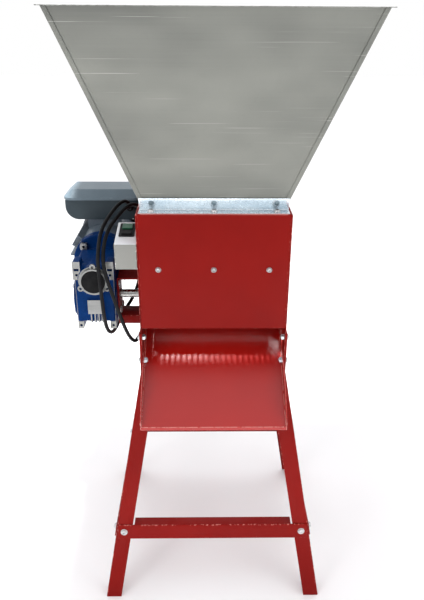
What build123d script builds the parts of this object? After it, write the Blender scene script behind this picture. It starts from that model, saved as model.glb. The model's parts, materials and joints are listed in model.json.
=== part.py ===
from build123d import *
import math
import os

os.makedirs("parts", exist_ok=True)

# Grape crusher on a stand. +X is the operator's right, +Y is away from the operator, +Z is up.
# The origin is on the floor, under the middle of the housing.

# ---- housing ----
housing_width = 350
housing_depth = 300
housing_top = 1040
plate_bottom = 640
panel_bottom = 760
plate_sheet = 3
panel_sheet = 2
flange_width = 20
panel_margin = 5
panel_lip = 38
rear_panel_bottom = 650
leg_notch_gap = 1

# ---- hopper ----
hopper_sheet = 1.5
mouth_side_margin = 15
mouth_end_margin = 30
rim_width = 630
rim_depth = 514
rim_height = 1460
rim_lip = 10
angle_leg = 30
angle_sheet = 2
angle_overhang = 7.5
rivet_radius = 7
rivet_spacing = 140

# ---- stand ----
leg_section = 40
leg_sheet = 3
leg_lean = 109
leg_top = 745
brace_height = 40
brace_flange = 25
brace_top = 220

# ---- fasteners ----
bolt_radius = 4
bolt_head_radius = 9
bolt_head_height = 5.5
nut_radius = 7.5
nut_height = 6.5
hole_clearance = 0.4
thread_clearance = 0.05
fit_gap = 0.3

# ---- crushing drum ----
drum_setback = 100
drum_z = 807
drum_radius = 56
drum_wall = 5
drum_length = 300
drum_end = 8
blade_count = 4
blade_sheet = 5
blade_seat = 3
blade_strip = 8
tooth_pitch = 13
tooth_count = 22
tooth_width = 4
tooth_tip_radius = 80
shaft_radius = 10
running_clearance = 0.03
bearing_radius = 23.5
bearing_width = 16
flange_thickness = 12
flange_length = 96
flange_breadth = 62
flange_bolt_y = 18
flange_bolt_z = 36

# ---- fixed comb ----
comb_height = 910
comb_sheet = 5
comb_flange = 44
comb_gap = 10
comb_angle = 45
comb_finger = 6
comb_slot_depth = 40
comb_screw_spacing = 127
screw_head_radius = 8

# ---- chute ----
chute_reach = 126
chute_edge_height = 564
chute_slope = 32
chute_sheet = 2
chute_wall = 34
chute_lip = 8
chute_side_gap = 0.5
chute_screw_height = 12
chute_back = 90
deflector_sheet = 2
deflector_gap = 5
deflector_drop = 43
deflector_bend = 965
deflector_top = 1030

# ---- gearbox ----
bracket_length = 59
bracket_sheet = 4
bracket_height = 104
bracket_depth = 57
case_width = 96
case_wall = 8
case_front = 72
case_back = 72
centre_distance = 63
case_top = 47
case_foot = 65
pad_width = 18
worm_mesh_gap = 0.3
wheel_width = 30
wheel_teeth = 30
hub_radius = 19
worm_radius = 13.3
worm_shaft_radius = 9
cap_radius = 32
plug_radius = 28
cap_ear_radius = 36
cap_thickness = 8
cap_hole_radius = 3.2
core_inset = 2
core_end_inset = 10
core_below = 48
core_above = 34
core_corner = 14
nose_radius = 36
nose_bore = 24
belly_inset = 6
worm_bearing_radius = 20
wheel_bearing_radius = 26
bearing_length = 12
foot_pad_top = 30
pad_slot_height = 6
vent_rib = 3

# ---- motor ----
motor_flange_radius = 70
motor_flange_length = 14
motor_radius = 68
motor_wall = 5
motor_length = 200
fin_tip_radius = 84
fin_count = 19
fin_start = 5.5
fin_root = 7
fin_sheet = 3
fin_clear = (40, 140)
fin_inset = 4
fan_cover_length = 62
fan_cover_wall = 1.5
stator_bore = 39
air_gap = 0.5
rotor_length = 90
fan_radius = 66
terminal_width = 196
terminal_depth = 112
terminal_bottom = 82
terminal_height = 52
terminal_wall = 3
terminal_round = 34
lid_rim = 6
lid_rise = 18
lid_taper = 50
lid_corner = 24
lid_overhang = 5
terminal_offset = 60
capacitor_radius = 20
capacitor_length = 90

# ---- control box ----
control_width = 50
control_depth = 97
control_bottom = 910
control_front = 61
control_rise = 21
control_wall = 1.5
switch_width = 30
switch_length = 52
switch_depth = 34
switch_rim = 2
button_gap = 0.35
button_width = 24
start_length = 22
stop_length = 14
button_proud = 3.5
button_travel = 3
button_grip = 6
button_room = 5

# ---- cables ----
cable_radius = 4.5
gland_radius = 9
gland_length = 20
gland_flats = 10
gland_rise = 36
box_gland_places = (70, 92)
control_gland_inset = 27.7
control_gland_rise = 16
side_gland_gap = 15
side_gland_height = 714
route_bend = 10

# ---- derived places ----
half_width = housing_width / 2
half_depth = housing_depth / 2
plate_inner = half_width - plate_sheet
front_face = -half_depth
drum_y = front_face + drum_setback
mouth_width = housing_width - 2 * mouth_side_margin
mouth_depth = housing_depth - 2 * mouth_end_margin
wheel_radius = centre_distance - worm_radius - worm_mesh_gap
gear_x = -(half_width + bracket_length + case_width / 2)
case_left = gear_x - case_width / 2
case_right = gear_x + case_width / 2
worm_z = drum_z + centre_distance
case_front_y = drum_y - case_front
case_back_y = drum_y + case_back
motor_start = case_back_y
frame_start = motor_start + motor_flange_length
frame_end = frame_start + motor_length
mouth_height = housing_top + panel_sheet + angle_sheet


def slab(x0, x1, y0, y1, z0, z1):
    """A block between three pairs of coordinates."""
    size = (abs(x1 - x0), abs(y1 - y0), abs(z1 - z0))
    return Pos((x0 + x1) / 2, (y0 + y1) / 2, (z0 + z1) / 2) * Box(*size)


def rod(axis, start, length, radius, at):
    """A round bar along an axis; 'at' holds its other two coordinates in order."""
    if axis == "x":
        frame = Plane(origin=(start, at[0], at[1]), x_dir=(0, 1, 0), z_dir=(1, 0, 0))
    elif axis == "y":
        frame = Plane(origin=(at[0], start, at[1]), x_dir=(1, 0, 0), z_dir=(0, 1, 0))
    else:
        frame = Plane(origin=(at[0], at[1], start), x_dir=(1, 0, 0), z_dir=(0, 0, 1))
    return frame * Cylinder(radius, length, align=(Align.CENTER, Align.CENTER, Align.MIN))


def ring(axis, start, length, outer, inner, at):
    """A round tube along an axis."""
    return rod(axis, start, length, outer, at) - rod(axis, start - 1, length + 2, inner, at)


def prism(points, axis, start, length):
    """A flat outline pushed along an axis. Outline points are (y, z) for x and (x, z) for y."""
    if axis == "x":
        frame = Plane(origin=(start, 0, 0), x_dir=(0, 1, 0), z_dir=(1, 0, 0))
        return extrude(frame * make_face(Polyline(*points, close=True)), length)
    frame = Plane(origin=(0, start, 0), x_dir=(1, 0, 0), z_dir=(0, -1, 0))
    return extrude(frame * make_face(Polyline(*points, close=True)), -length)


def solids_of(pieces):
    """Every solid of a list of shapes, kept apart."""
    found = []
    for piece in pieces:
        found += list(piece.solids())
    return found


def save(name, *pieces):
    """Writes one node; several pieces stay separate solids."""
    found = solids_of(pieces)
    shape = found[0] if len(found) == 1 else Compound(children=found)
    export_step(shape, f"parts/{name}.step")


def frame_toward(place, direction):
    """A plane at a place whose normal is a direction."""
    side = (0, 0, 1) if abs(direction[2]) < 0.9 else (1, 0, 0)
    return Plane(origin=place, x_dir=Vector(*side).cross(Vector(*direction)), z_dir=direction)


def bolt(place, direction, grip, head_radius=bolt_head_radius, head_height=bolt_head_height):
    """A domed screw. Its head stands at place along direction, its shank runs the other way."""
    head = Cylinder(head_radius, head_height, align=(Align.CENTER, Align.CENTER, Align.MIN))
    head = fillet(head.edges().filter_by(GeomType.CIRCLE).group_by(Axis.Z)[-1], head_height * 0.7)
    shank = Cylinder(bolt_radius, grip, align=(Align.CENTER, Align.CENTER, Align.MAX))
    return frame_toward(place, direction) * (head + shank)


def nut(place, direction):
    """A hexagon nut standing at place along direction."""
    body = extrude(RegularPolygon(nut_radius, 6), nut_height)
    body -= Cylinder(bolt_radius + thread_clearance, 3 * nut_height)
    return frame_toward(place, direction) * body


def bolt_hole(place, direction, length):
    """The clearance hole of a bolt, centred on its place."""
    return frame_toward(place, direction) * Cylinder(bolt_radius + hole_clearance, length)


# ---- stand: four leaning angle legs and four angle braces ----
leg_bend = plate_bottom
leg_fix_heights = (plate_bottom + 24, plate_bottom + 88)
leg_outer = half_width + leg_sheet


def leg(side, end):
    """One leg: an angle section that stands against the side plate, then leans out to the floor."""
    corner = (side * leg_outer, end * (half_depth + leg_sheet))
    outline = Polyline(
        corner,
        (corner[0] - side * leg_section, corner[1]),
        (corner[0] - side * leg_section, corner[1] - end * leg_sheet),
        (corner[0] - side * leg_sheet, corner[1] - end * leg_sheet),
        (corner[0] - side * leg_sheet, corner[1] - end * leg_section),
        (corner[0], corner[1] - end * leg_section),
        close=True,
    )
    section = Pos(0, 0, leg_bend) * make_face(outline)
    run = Vector(side * leg_lean, end * leg_lean, -leg_bend)
    leaning = extrude(section, amount=run.length, dir=run.normalized())
    upright = extrude(section, amount=leg_top - leg_bend, dir=(0, 0, 1))
    body = leaning + upright
    if end < 0:
        body -= slab(-side * half_width, side * plate_inner, -half_depth - 9, -half_depth + 1, leg_bend - 5, 800)
    return body


def leg_point(side, end, height):
    """The outer corner of a leg at a height."""
    share = (leg_bend - height) / leg_bend
    x = side * (leg_outer + leg_lean * share)
    y = end * (half_depth + leg_sheet + leg_lean * share)
    return x, y


def brace(kind, side):
    """An angle brace across two legs; its faces follow the lean of the legs."""
    low = brace_top - brace_height
    x_top, y_top = leg_point(1, 1, brace_top)
    x_low, y_low = leg_point(1, 1, low)
    inset = 1
    if kind == "across":
        faces = [(y_top, brace_top), (y_low, low)]
        span = x_top - inset
    else:
        faces = [(x_top, brace_top), (x_low, low)]
        span = y_top - inset
    gap = fit_gap
    clear = gap + leg_sheet * leg_lean / leg_bend
    (a_top, z_top), (a_low, z_low) = faces
    outline = [
        (side * (a_top + gap + leg_sheet), z_top),
        (side * (a_low + gap + leg_sheet), z_low),
        (side * (a_low + gap), z_low),
        (side * (a_top + clear), z_top - leg_sheet),
        (side * (a_top - brace_flange), z_top - leg_sheet),
        (side * (a_top - brace_flange), z_top),
    ]
    reach = leg_section + 3
    cut = brace_flange + 30
    if kind == "across":
        body = prism(outline, "x", -span, 2 * span)
        for end in (-1, 1):
            body -= slab(end * (span - reach), end * (span + 9), side * (a_top - cut), side * (a_top + clear),
                         low - 9, z_top + 9)
    else:
        body = prism(outline, "y", -span, 2 * span)
        for end in (-1, 1):
            body -= slab(side * (a_top - cut), side * (a_top + clear), end * (span - reach), end * (span + 9),
                         low - 9, z_top + 9)
    return body


side_names = {-1: "left", 1: "right"}
end_names = {-1: "front", 1: "rear"}
lean_slope = leg_lean / leg_bend
brace_fix = brace_top - brace_height / 2
leg_bolts = []
leg_shapes = {}

for side in (-1, 1):
    for end in (-1, 1):
        leg_shapes[(side, end)] = leg(side, end)

brace_shapes = {
    "brace_front": brace("across", -1),
    "brace_rear": brace("across", 1),
    "brace_left": brace("along", -1),
    "brace_right": brace("along", 1),
}

for side in (-1, 1):
    for end in (-1, 1):
        x_fix, y_fix = leg_point(side, end, brace_fix)
        across = (x_fix - side * leg_section / 2, y_fix + end * (fit_gap + leg_sheet), brace_fix)
        along = (x_fix + side * (fit_gap + leg_sheet), y_fix - end * leg_section / 2, brace_fix)
        tilt = Vector(0, end, lean_slope).normalized()
        turn = Vector(side, 0, lean_slope).normalized()
        grip = 2 * leg_sheet + fit_gap + nut_height + 3
        for place, way, name in (
            (Vector(*across), tilt, f"brace_{end_names[end]}"),
            (Vector(*along), turn, f"brace_{side_names[side]}"),
        ):
            hole = bolt_hole(tuple(place), tuple(way), 40)
            brace_shapes[name] -= hole
            leg_shapes[(side, end)] -= hole
            leg_bolts.append(bolt(tuple(place), tuple(way), grip))
            back = place - way * (2 * leg_sheet + fit_gap)
            leg_bolts.append(nut(tuple(back), tuple(-way)))
        for height in leg_fix_heights:
            place = (side * leg_outer, end * (half_depth - leg_section / 2 + 5), height)
            leg_shapes[(side, end)] -= bolt_hole(place, (side, 0, 0), 20)
            through_wall = end < 0 and height == leg_fix_heights[0]
            packing = chute_side_gap + chute_sheet if through_wall else 0
            leg_bolts.append(bolt(place, (side, 0, 0), leg_sheet + plate_sheet + packing + nut_height + 2))
            inside = (side * (plate_inner - packing), place[1], height)
            leg_bolts.append(nut(inside, (-side, 0, 0)))

for (side, end), shape in leg_shapes.items():
    save(f"leg_{end_names[end]}_{side_names[side]}", shape)
for name, shape in brace_shapes.items():
    save(name, shape)
save("stand_bolts", *leg_bolts)

# ---- housing ----
flange_places = [(y, z) for y in (-flange_bolt_y, flange_bolt_y) for z in (-flange_bolt_z, flange_bolt_z)]
panel_half = half_width - panel_margin


def side_plate(side):
    """A folded side plate with inward flanges, its bearing bore and its bolt holes."""
    web = slab(side * plate_inner, side * half_width, -half_depth, half_depth, plate_bottom, housing_top)
    inner = side * (plate_inner - flange_width)
    edge = side * half_width
    body = web + slab(inner, edge, -half_depth, -half_depth + plate_sheet, panel_bottom, housing_top)
    body += slab(inner, edge, half_depth - plate_sheet, half_depth, plate_bottom, housing_top)
    body += slab(inner, edge, -half_depth, half_depth, housing_top - plate_sheet, housing_top)
    body -= rod("x", side * plate_inner - 9, 18, shaft_radius + 3, (drum_y, drum_z))
    for y, z in flange_places:
        body -= bolt_hole((side * plate_inner, drum_y + y, drum_z + z), (side, 0, 0), 20)
    for end in (-1, 1):
        for height in leg_fix_heights:
            place = (side * plate_inner, end * (half_depth - leg_section / 2 + 5), height)
            body -= bolt_hole(place, (side, 0, 0), 20)
    return body


plates = {side: side_plate(side) for side in (-1, 1)}

front_panel = slab(-panel_half, panel_half, front_face - panel_sheet, front_face, panel_bottom,
                   housing_top + panel_sheet)
front_panel = fillet(front_panel.edges().filter_by(Axis.X).group_by(Axis.Z)[-1].sort_by(Axis.Y)[0], 1.6)
front_panel += slab(-panel_half, panel_half, front_face - 0.1, front_face + panel_lip, housing_top,
                    housing_top + panel_sheet)
rear_panel = slab(-panel_half, panel_half, half_depth, half_depth + panel_sheet, rear_panel_bottom,
                  housing_top + panel_sheet)
rear_panel += slab(-panel_half, panel_half, half_depth - panel_lip, half_depth + panel_sheet, housing_top,
                   housing_top + panel_sheet)

leg_inner = leg_outer - leg_section - leg_notch_gap
for side in (-1, 1):
    rear_panel -= slab(side * leg_inner, side * (half_width + 1), half_depth - 1, half_depth + panel_sheet + 1,
                       rear_panel_bottom - 1, leg_top + leg_notch_gap)

# fixed comb: a vertical flange on the front panel and fingers that reach down to the drum
comb_half = plate_inner - flange_width - 2
comb_bend = comb_height - comb_flange / 2
comb_face = front_face
comb = slab(-comb_half, comb_half, comb_face, comb_face + comb_sheet, comb_bend, comb_height + comb_flange / 2)
slope = math.radians(comb_angle)
toward = (math.cos(slope), -math.sin(slope))
across = (math.sin(slope), math.cos(slope))
bend_at = (comb_face - drum_y, comb_bend - drum_z)
strip_radius = drum_radius + blade_strip
along_comb = bend_at[0] * toward[0] + bend_at[1] * toward[1]
beyond = bend_at[0] ** 2 + bend_at[1] ** 2 - (strip_radius + comb_gap) ** 2
comb_reach = -along_comb - math.sqrt(along_comb ** 2 - beyond)
tip = (comb_face + comb_reach * toward[0], comb_bend + comb_reach * toward[1])
comb += prism([
    (comb_face, comb_bend),
    tip,
    (tip[0] + comb_sheet * across[0], tip[1] + comb_sheet * across[1]),
    (comb_face + comb_sheet, comb_bend + comb_sheet * math.tan(slope / 2)),
    (comb_face + comb_sheet, comb_bend + comb_sheet),
    (comb_face, comb_bend + comb_sheet),
], "x", -comb_half, 2 * comb_half)
tooth_places = [(index - (tooth_count - 1) / 2) * tooth_pitch for index in range(tooth_count)]
slot_width = tooth_pitch - comb_finger
slot_mouth = comb_reach - comb_slot_depth
slot_frame = Plane(origin=(0, comb_face + slot_mouth * toward[0], comb_bend + slot_mouth * toward[1]),
                   x_dir=(1, 0, 0), z_dir=(0, across[0], across[1]))
for place in tooth_places:
    notch = Box(slot_width, comb_slot_depth * 2, 6 * comb_sheet, align=(Align.CENTER, Align.MIN, Align.CENTER))
    comb -= slot_frame * Pos(place, 0, 0) * notch

panel_screws = []
for x in (-comb_screw_spacing, 0, comb_screw_spacing):
    place = (x, front_face - panel_sheet, comb_height)
    front_panel -= bolt_hole(place, (0, -1, 0), 20)
    comb -= bolt_hole(place, (0, -1, 0), 30)
    panel_screws.append(bolt(place, (0, -1, 0), panel_sheet + comb_sheet + nut_height + 2, screw_head_radius, 5))
    panel_screws.append(nut((x, comb_face + comb_sheet, comb_height), (0, 1, 0)))

# chute: a folded tray between the side plates, sloping down to the front
tray_half = plate_inner - chute_side_gap
tray_slope = math.radians(chute_slope)
edge_y = front_face - chute_reach
back_y = chute_back
rise = (back_y - edge_y) * math.tan(tray_slope)
drop = chute_sheet / math.cos(tray_slope)
tray = prism([
    (edge_y, chute_edge_height - drop),
    (edge_y, chute_edge_height),
    (back_y, chute_edge_height + rise),
    (back_y, chute_edge_height + rise - drop),
], "x", -tray_half, 2 * tray_half)
lip = slab(-tray_half, tray_half, edge_y, edge_y + chute_sheet, chute_edge_height - chute_lip, chute_edge_height)
tray += lip
wall_front = chute_wall * 0.35
for side in (-1, 1):
    outline = [
        (edge_y, chute_edge_height - drop),
        (edge_y, chute_edge_height + wall_front),
        (edge_y + 60, chute_edge_height + 60 * math.tan(tray_slope) + chute_wall),
        (back_y, chute_edge_height + rise + chute_wall),
        (back_y, chute_edge_height + rise - drop),
    ]
    tray += prism(outline, "x", side * tray_half - (chute_sheet if side > 0 else 0), chute_sheet)

for side in (-1, 1):
    front_bolt = (side * tray_half, -half_depth + leg_section / 2 - 5, leg_fix_heights[0])
    tray -= bolt_hole(front_bolt, (side, 0, 0), 12)
    for y in (back_y - 20,):
        height = chute_edge_height + (y - edge_y) * math.tan(tray_slope) + chute_wall - chute_screw_height
        place = (side * half_width, y, height)
        reach = chute_side_gap + chute_sheet + plate_sheet
        tray -= bolt_hole((side * tray_half, y, height), (side, 0, 0), 12)
        plates[side] -= bolt_hole(place, (side, 0, 0), 12)
        panel_screws.append(bolt(place, (side, 0, 0), reach + nut_height + 2, screw_head_radius, 5))
        panel_screws.append(nut((side * (tray_half - chute_sheet), y, height), (-side, 0, 0)))
save("chute", tray)

# deflector: a bent sheet that leads the fruit from the back of the throat to the drum
guide_y = half_depth - plate_sheet
deflector_slant = math.sqrt(2)
guide_end = drum_y + math.sqrt((tooth_tip_radius + deflector_gap) ** 2 - deflector_drop ** 2)
guide_low = drum_z + deflector_drop
deflector = prism([
    (guide_y, deflector_top), (guide_y, deflector_bend), (guide_end, guide_low),
    (guide_end, guide_low + deflector_sheet * deflector_slant), (guide_y - deflector_sheet, deflector_bend + 1),
    (guide_y - deflector_sheet, deflector_top),
], "x", -tray_half, 2 * tray_half)
for side in (-1, 1):
    for height in (deflector_bend + 25, panel_bottom + 30):
        place = (side * (plate_inner - flange_width / 2), half_depth + panel_sheet, height)
        rear_panel -= bolt_hole(place, (0, 1, 0), 10)
        plates[side] -= bolt_hole(place, (0, 1, 0), 20)
        on_guide = height > deflector_bend
        packing = deflector_sheet if on_guide else 0
        deflector -= bolt_hole(place, (0, 1, 0), 30)
        grip = panel_sheet + plate_sheet + packing + nut_height + 2
        panel_screws.append(bolt(place, (0, 1, 0), grip, screw_head_radius, 5))
        panel_screws.append(nut((place[0], guide_y - packing, height), (0, -1, 0)))
save("deflector", deflector)

# ---- hopper: four sloping panels on four zinc angles ----
wall_run = {
    "front": (rim_depth - mouth_depth) / 2,
    "side": (rim_width - mouth_width) / 2,
}
wall_rise = rim_height - mouth_height
hopper_corners = {
    "low": (mouth_width / 2, mouth_depth / 2),
    "high": (rim_width / 2, rim_depth / 2),
}


def panel_solid(kind, sign):
    """A sloping sheet of the hopper with its outward lip at the rim."""
    low_x, low_y = hopper_corners["low"]
    high_x, high_y = hopper_corners["high"]
    if kind == "across":
        run = (high_y - low_y) / wall_rise
        slant = hopper_sheet * math.hypot(1, run)
        sheet = prism([
            (sign * low_y, mouth_height),
            (sign * high_y, rim_height),
            (sign * (high_y - slant), rim_height),
            (sign * (low_y - slant), mouth_height),
        ], "x", -high_x, 2 * high_x)
        keep = [(-low_x, mouth_height), (low_x, mouth_height), (high_x, rim_height), (-high_x, rim_height)]
        sheet &= prism(keep, "y", -high_y - 5, 2 * high_y + 10)
        lip_box = slab(-high_x - rim_lip + 4, high_x + rim_lip - 4, sign * (high_y - slant),
                       sign * (high_y + rim_lip), rim_height - hopper_sheet, rim_height)
        corner = chamfer(lip_box.edges().filter_by(Axis.Z), 3)
        return sheet + corner
    run = (high_x - low_x) / wall_rise
    slant = hopper_sheet * math.hypot(1, run)
    back = (high_y - low_y) / wall_rise
    inset = hopper_sheet * math.hypot(1, back) + fit_gap
    sheet = prism([
        (sign * low_x, mouth_height),
        (sign * high_x, rim_height),
        (sign * (high_x - slant), rim_height),
        (sign * (low_x - slant), mouth_height),
    ], "y", -high_y, 2 * high_y)
    keep = [
        (-(low_y - inset), mouth_height),
        (low_y - inset, mouth_height),
        (high_y - inset, rim_height),
        (-(high_y - inset), rim_height),
    ]
    sheet &= prism(keep, "x", -high_x - 5, 2 * high_x + 10)
    edge = high_y - inset - 1
    sheet += slab(sign * (high_x - slant), sign * (high_x + rim_lip), -edge, edge,
                  rim_height - hopper_sheet, rim_height)
    return sheet


hopper_shapes = {
    "hopper_front": panel_solid("across", -1),
    "hopper_rear": panel_solid("across", 1),
    "hopper_left": panel_solid("along", -1),
    "hopper_right": panel_solid("along", 1),
}


def angle_strip(sign):
    """A zinc angle: a flat leg on the housing and a leg opened to the slope of the hopper."""
    low_x, low_y = hopper_corners["low"]
    base = housing_top + panel_sheet
    run = wall_run["front"] / wall_rise
    half = low_x + angle_overhang
    rise_up = mouth_height - base + angle_leg * math.cos(math.atan(run))
    slant = angle_sheet * math.hypot(1, run)
    foot = low_y + run * (base - mouth_height) + fit_gap
    top = foot + run * rise_up
    outline = [
        (sign * foot, base),
        (sign * (foot + angle_leg), base),
        (sign * (foot + angle_leg), base + angle_sheet),
        (sign * (foot + slant + run * angle_sheet), base + angle_sheet),
        (sign * (top + slant), base + rise_up),
        (sign * top, base + rise_up),
    ]
    return prism(outline, "x", -half, 2 * half), foot, run, base


angle_shapes = {}
rivets = []
angle_bolts = []
top_panels = {"front": front_panel, "rear": rear_panel}
for name, sign in (("front", -1), ("rear", 1)):
    strip, foot, run, base = angle_strip(sign)
    level = base + angle_leg * 0.62
    out = foot + run * (level - base) + angle_sheet * math.hypot(1, run)
    normal = Vector(0, sign, -run).normalized()
    depth = angle_sheet + hopper_sheet + fit_gap
    for spot in (-rivet_spacing, 0, rivet_spacing):
        place = Vector(spot, sign * out, level)
        through = bolt_hole(tuple(place), tuple(normal), 16)
        strip -= through
        hopper_shapes[f"hopper_{name}"] -= through
        head = bolt(tuple(place), tuple(normal), depth + 0.4, rivet_radius, 3.4)
        tail_plane = frame_toward(tuple(place - normal * (depth + 0.2)), tuple(normal))
        tail = tail_plane * Cylinder(rivet_radius * 0.85, 1.2, align=(Align.CENTER, Align.CENTER, Align.MAX))
        rivets.append(head + tail)
        flat = (spot, sign * (foot + angle_leg * 0.62), base + angle_sheet)
        strip -= bolt_hole(flat, (0, 0, 1), 16)
        top_panels[name] -= bolt_hole(flat, (0, 0, 1), 16)
        grip = angle_sheet + panel_sheet + nut_height + 2
        angle_bolts.append(bolt(flat, (0, 0, 1), grip))
        angle_bolts.append(nut((flat[0], flat[1], housing_top), (0, 0, -1)))
    angle_shapes[f"angle_{name}"] = strip

for name, shape in hopper_shapes.items():
    save(name, shape)
for name, shape in angle_shapes.items():
    save(name, shape)
save("hopper_rivets", *rivets)
save("angle_bolts", *angle_bolts)

save("front_panel", top_panels["front"])
save("rear_panel", top_panels["rear"])
save("fixed_comb", comb)
save("panel_screws", *panel_screws)

# ---- drum, shaft and bearings ----
axis_at = (drum_y, drum_z)
bearings = []
flanges = []
drive_bolts = []
for side in (-1, 1):
    face = side * plate_inner
    back = face - side * flange_thickness
    plate = slab(face, back, drum_y - flange_breadth / 2, drum_y + flange_breadth / 2,
                 drum_z - flange_length / 2, drum_z + flange_length / 2)
    plate = fillet(plate.edges().filter_by(Axis.X), 12)
    plate -= rod("x", min(face, back) - 1, flange_thickness + 2, bearing_radius, axis_at)
    start = min(face, face - side * bearing_width)
    bearings.append(ring("x", start, bearing_width, bearing_radius, shaft_radius + running_clearance, axis_at))
    for y, z in flange_places:
        place = (side * half_width, drum_y + y, drum_z + z)
        if side < 0:
            place = (-(half_width + bracket_sheet), place[1], place[2])
        plate -= frame_toward(place, (side, 0, 0)) * Cylinder(bolt_radius + thread_clearance, 60)
        grip = abs(place[0]) - abs(back)
        drive_bolts.append(bolt(place, (side, 0, 0), grip, head_height=4.5))
    flanges.append(plate)
save("drum_bearings", *bearings)
save("bearing_flanges", *flanges)

shaft_left = case_left + 4
shaft_right = plate_inner - 0.5
save("drum_shaft", rod("x", shaft_left, shaft_right - shaft_left, shaft_radius, axis_at))

drum = ring("x", -drum_length / 2, drum_length, drum_radius, drum_radius - drum_wall, axis_at)
for side in (-1, 1):
    start = -drum_length / 2 if side < 0 else drum_length / 2 - drum_end
    drum += ring("x", start, drum_end, drum_radius - 1, shaft_radius, axis_at)
seat_radius = drum_radius - blade_seat
blade_half = (tooth_count * tooth_pitch) / 2
for index in range(blade_count):
    turn = 360 * index / blade_count + 20
    spin = Pos(0, drum_y, drum_z) * Rot(turn, 0, 0)
    drum -= spin * slab(-blade_half, blade_half, -blade_sheet / 2, blade_sheet / 2, seat_radius, strip_radius)
    blade = slab(-blade_half, blade_half, -blade_sheet / 2, blade_sheet / 2, seat_radius, strip_radius)
    for place in tooth_places:
        blade += prism([
            (place - tooth_width / 2, strip_radius - 1),
            (place + tooth_width / 2, strip_radius - 1),
            (place + tooth_width / 2 - 0.7, tooth_tip_radius),
            (place - tooth_width / 2 + 0.7, tooth_tip_radius),
        ], "y", -blade_sheet / 2, blade_sheet)
    save(f"drum_blade_{index + 1}", spin * blade)
save("drum_body", drum)

# ---- gearbox bracket: a short box section, open to the front and back ----
bracket_left = -(half_width + bracket_length)
y0 = drum_y - bracket_depth / 2
y1 = drum_y + bracket_depth / 2
z0 = drum_z - bracket_height / 2
z1 = drum_z + bracket_height / 2
bracket = slab(bracket_left, -half_width, y0, y1, z0, z1)
bracket = fillet(bracket.edges().filter_by(Axis.Y), 3)
bracket -= slab(bracket_left + bracket_sheet, -half_width - bracket_sheet, y0 - 1, y1 + 1,
                z0 + bracket_sheet, z1 - bracket_sheet)
bracket += slab(bracket_left, -half_width, y0, y0 + bracket_sheet, z0 - 18, z0 + bracket_sheet)
bracket -= rod("x", bracket_left - 1, bracket_length + 2, shaft_radius + 3, axis_at)
for y, z in flange_places:
    place = (bracket_left + bracket_sheet, drum_y + y, drum_z + z)
    bracket -= bolt_hole(place, (1, 0, 0), 20)
    bracket -= bolt_hole((-half_width - bracket_sheet, place[1], place[2]), (1, 0, 0), 20)
    drive_bolts.append(bolt(place, (1, 0, 0), bracket_sheet + 16, head_height=4.5))

# ---- gearbox ----
core = slab(case_left + core_inset, case_right - core_inset, case_front_y + core_end_inset,
            case_back_y - core_end_inset, drum_z - core_below, worm_z + core_above)
core = fillet(core.edges().filter_by(Axis.X), core_corner)
belly = rod("x", case_left, case_width, case_foot - belly_inset, axis_at)
nose = rod("y", case_front_y, case_front + case_back, nose_radius, (gear_x, worm_z))
case = core + belly + nose
case += rod("y", case_back_y - 12, 12, motor_flange_radius, (gear_x, worm_z))
pad_spots = ((case_left, case_left + pad_width), (case_right - pad_width, case_right))
for x0, x1 in pad_spots:
    case += slab(x0, x1, case_front_y + 2, case_front_y + 40, worm_z + 2, worm_z + case_top)
    case += slab(x0 + 2, x1 - 2, case_front_y + 8, case_back_y - 14, drum_z - case_foot, drum_z - foot_pad_top)
case += slab(case_left + 4, case_right - 4, case_front_y + 4, case_front_y + 30, drum_z - 44, worm_z + 8)
case += slab(gear_x - 18, gear_x + 18, case_front_y - 2, case_front_y + 12, drum_z - 22, drum_z + 14)
for index in range(4):
    x = gear_x - 13 + index * 9
    case += prism([(case_front_y, drum_z - 22), (case_front_y, drum_z - 46), (case_front_y + 14, drum_z - 52),
                   (case_front_y + 14, drum_z - 22)], "x", x, vent_rib)
inner_left = case_left + case_wall
inner_right = case_right - case_wall
case -= rod("x", inner_left, inner_right - inner_left, case_foot - belly_inset - case_wall, axis_at)
case -= rod("y", case_front_y + core_end_inset, case_front + case_back - 2 * core_end_inset, nose_bore,
            (gear_x, worm_z))
case -= rod("y", case_front_y - 9, case_front + case_back + 18, worm_bearing_radius, (gear_x, worm_z))
case -= rod("x", case_left - 1, case_width + 2, wheel_bearing_radius, axis_at)
for y, z in flange_places:
    place = (case_right, drum_y + y, drum_z + z)
    case -= frame_toward(place, (1, 0, 0)) * Cylinder(bolt_radius + thread_clearance, 2 * 16.5)
for x0, x1 in pad_spots:
    mid = (x0 + x1) / 2
    case -= rod("y", case_front_y, 12, cap_hole_radius, (mid, worm_z + 14))
    case -= slab(mid - 6, mid + 6, case_front_y, case_front_y + 10, worm_z + 24, worm_z + 24 + pad_slot_height)
    case -= rod("y", case_front_y, 18, cap_hole_radius, (mid, drum_z - case_foot + 8))

# output side: wheel on the drum shaft, its two bearings, and the outer cover
wheel_bearings = []
hub_half = wheel_width / 2 + 8
for start in (gear_x - hub_half - bearing_length, gear_x + hub_half):
    wheel_bearings.append(ring("x", start, bearing_length, wheel_bearing_radius, hub_radius + running_clearance,
                               axis_at))
wheel = rod("x", gear_x - wheel_width / 2, wheel_width, wheel_radius, axis_at)
wheel += rod("x", gear_x - hub_half - bearing_length, 2 * (hub_half + bearing_length), hub_radius, axis_at)
tooth_gap = 2 * math.pi * wheel_radius / wheel_teeth * 0.45
for index in range(wheel_teeth):
    notch = slab(gear_x - wheel_width, gear_x + wheel_width, -tooth_gap / 2, tooth_gap / 2, wheel_radius - 4,
                 wheel_radius + 4)
    turned = Pos(0, drum_y, drum_z) * Rot(360 * index / wheel_teeth, 0, 0) * notch
    wheel -= turned
wheel -= rod("x", gear_x - 60, 120, shaft_radius, axis_at)
save("worm_wheel", wheel)

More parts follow.
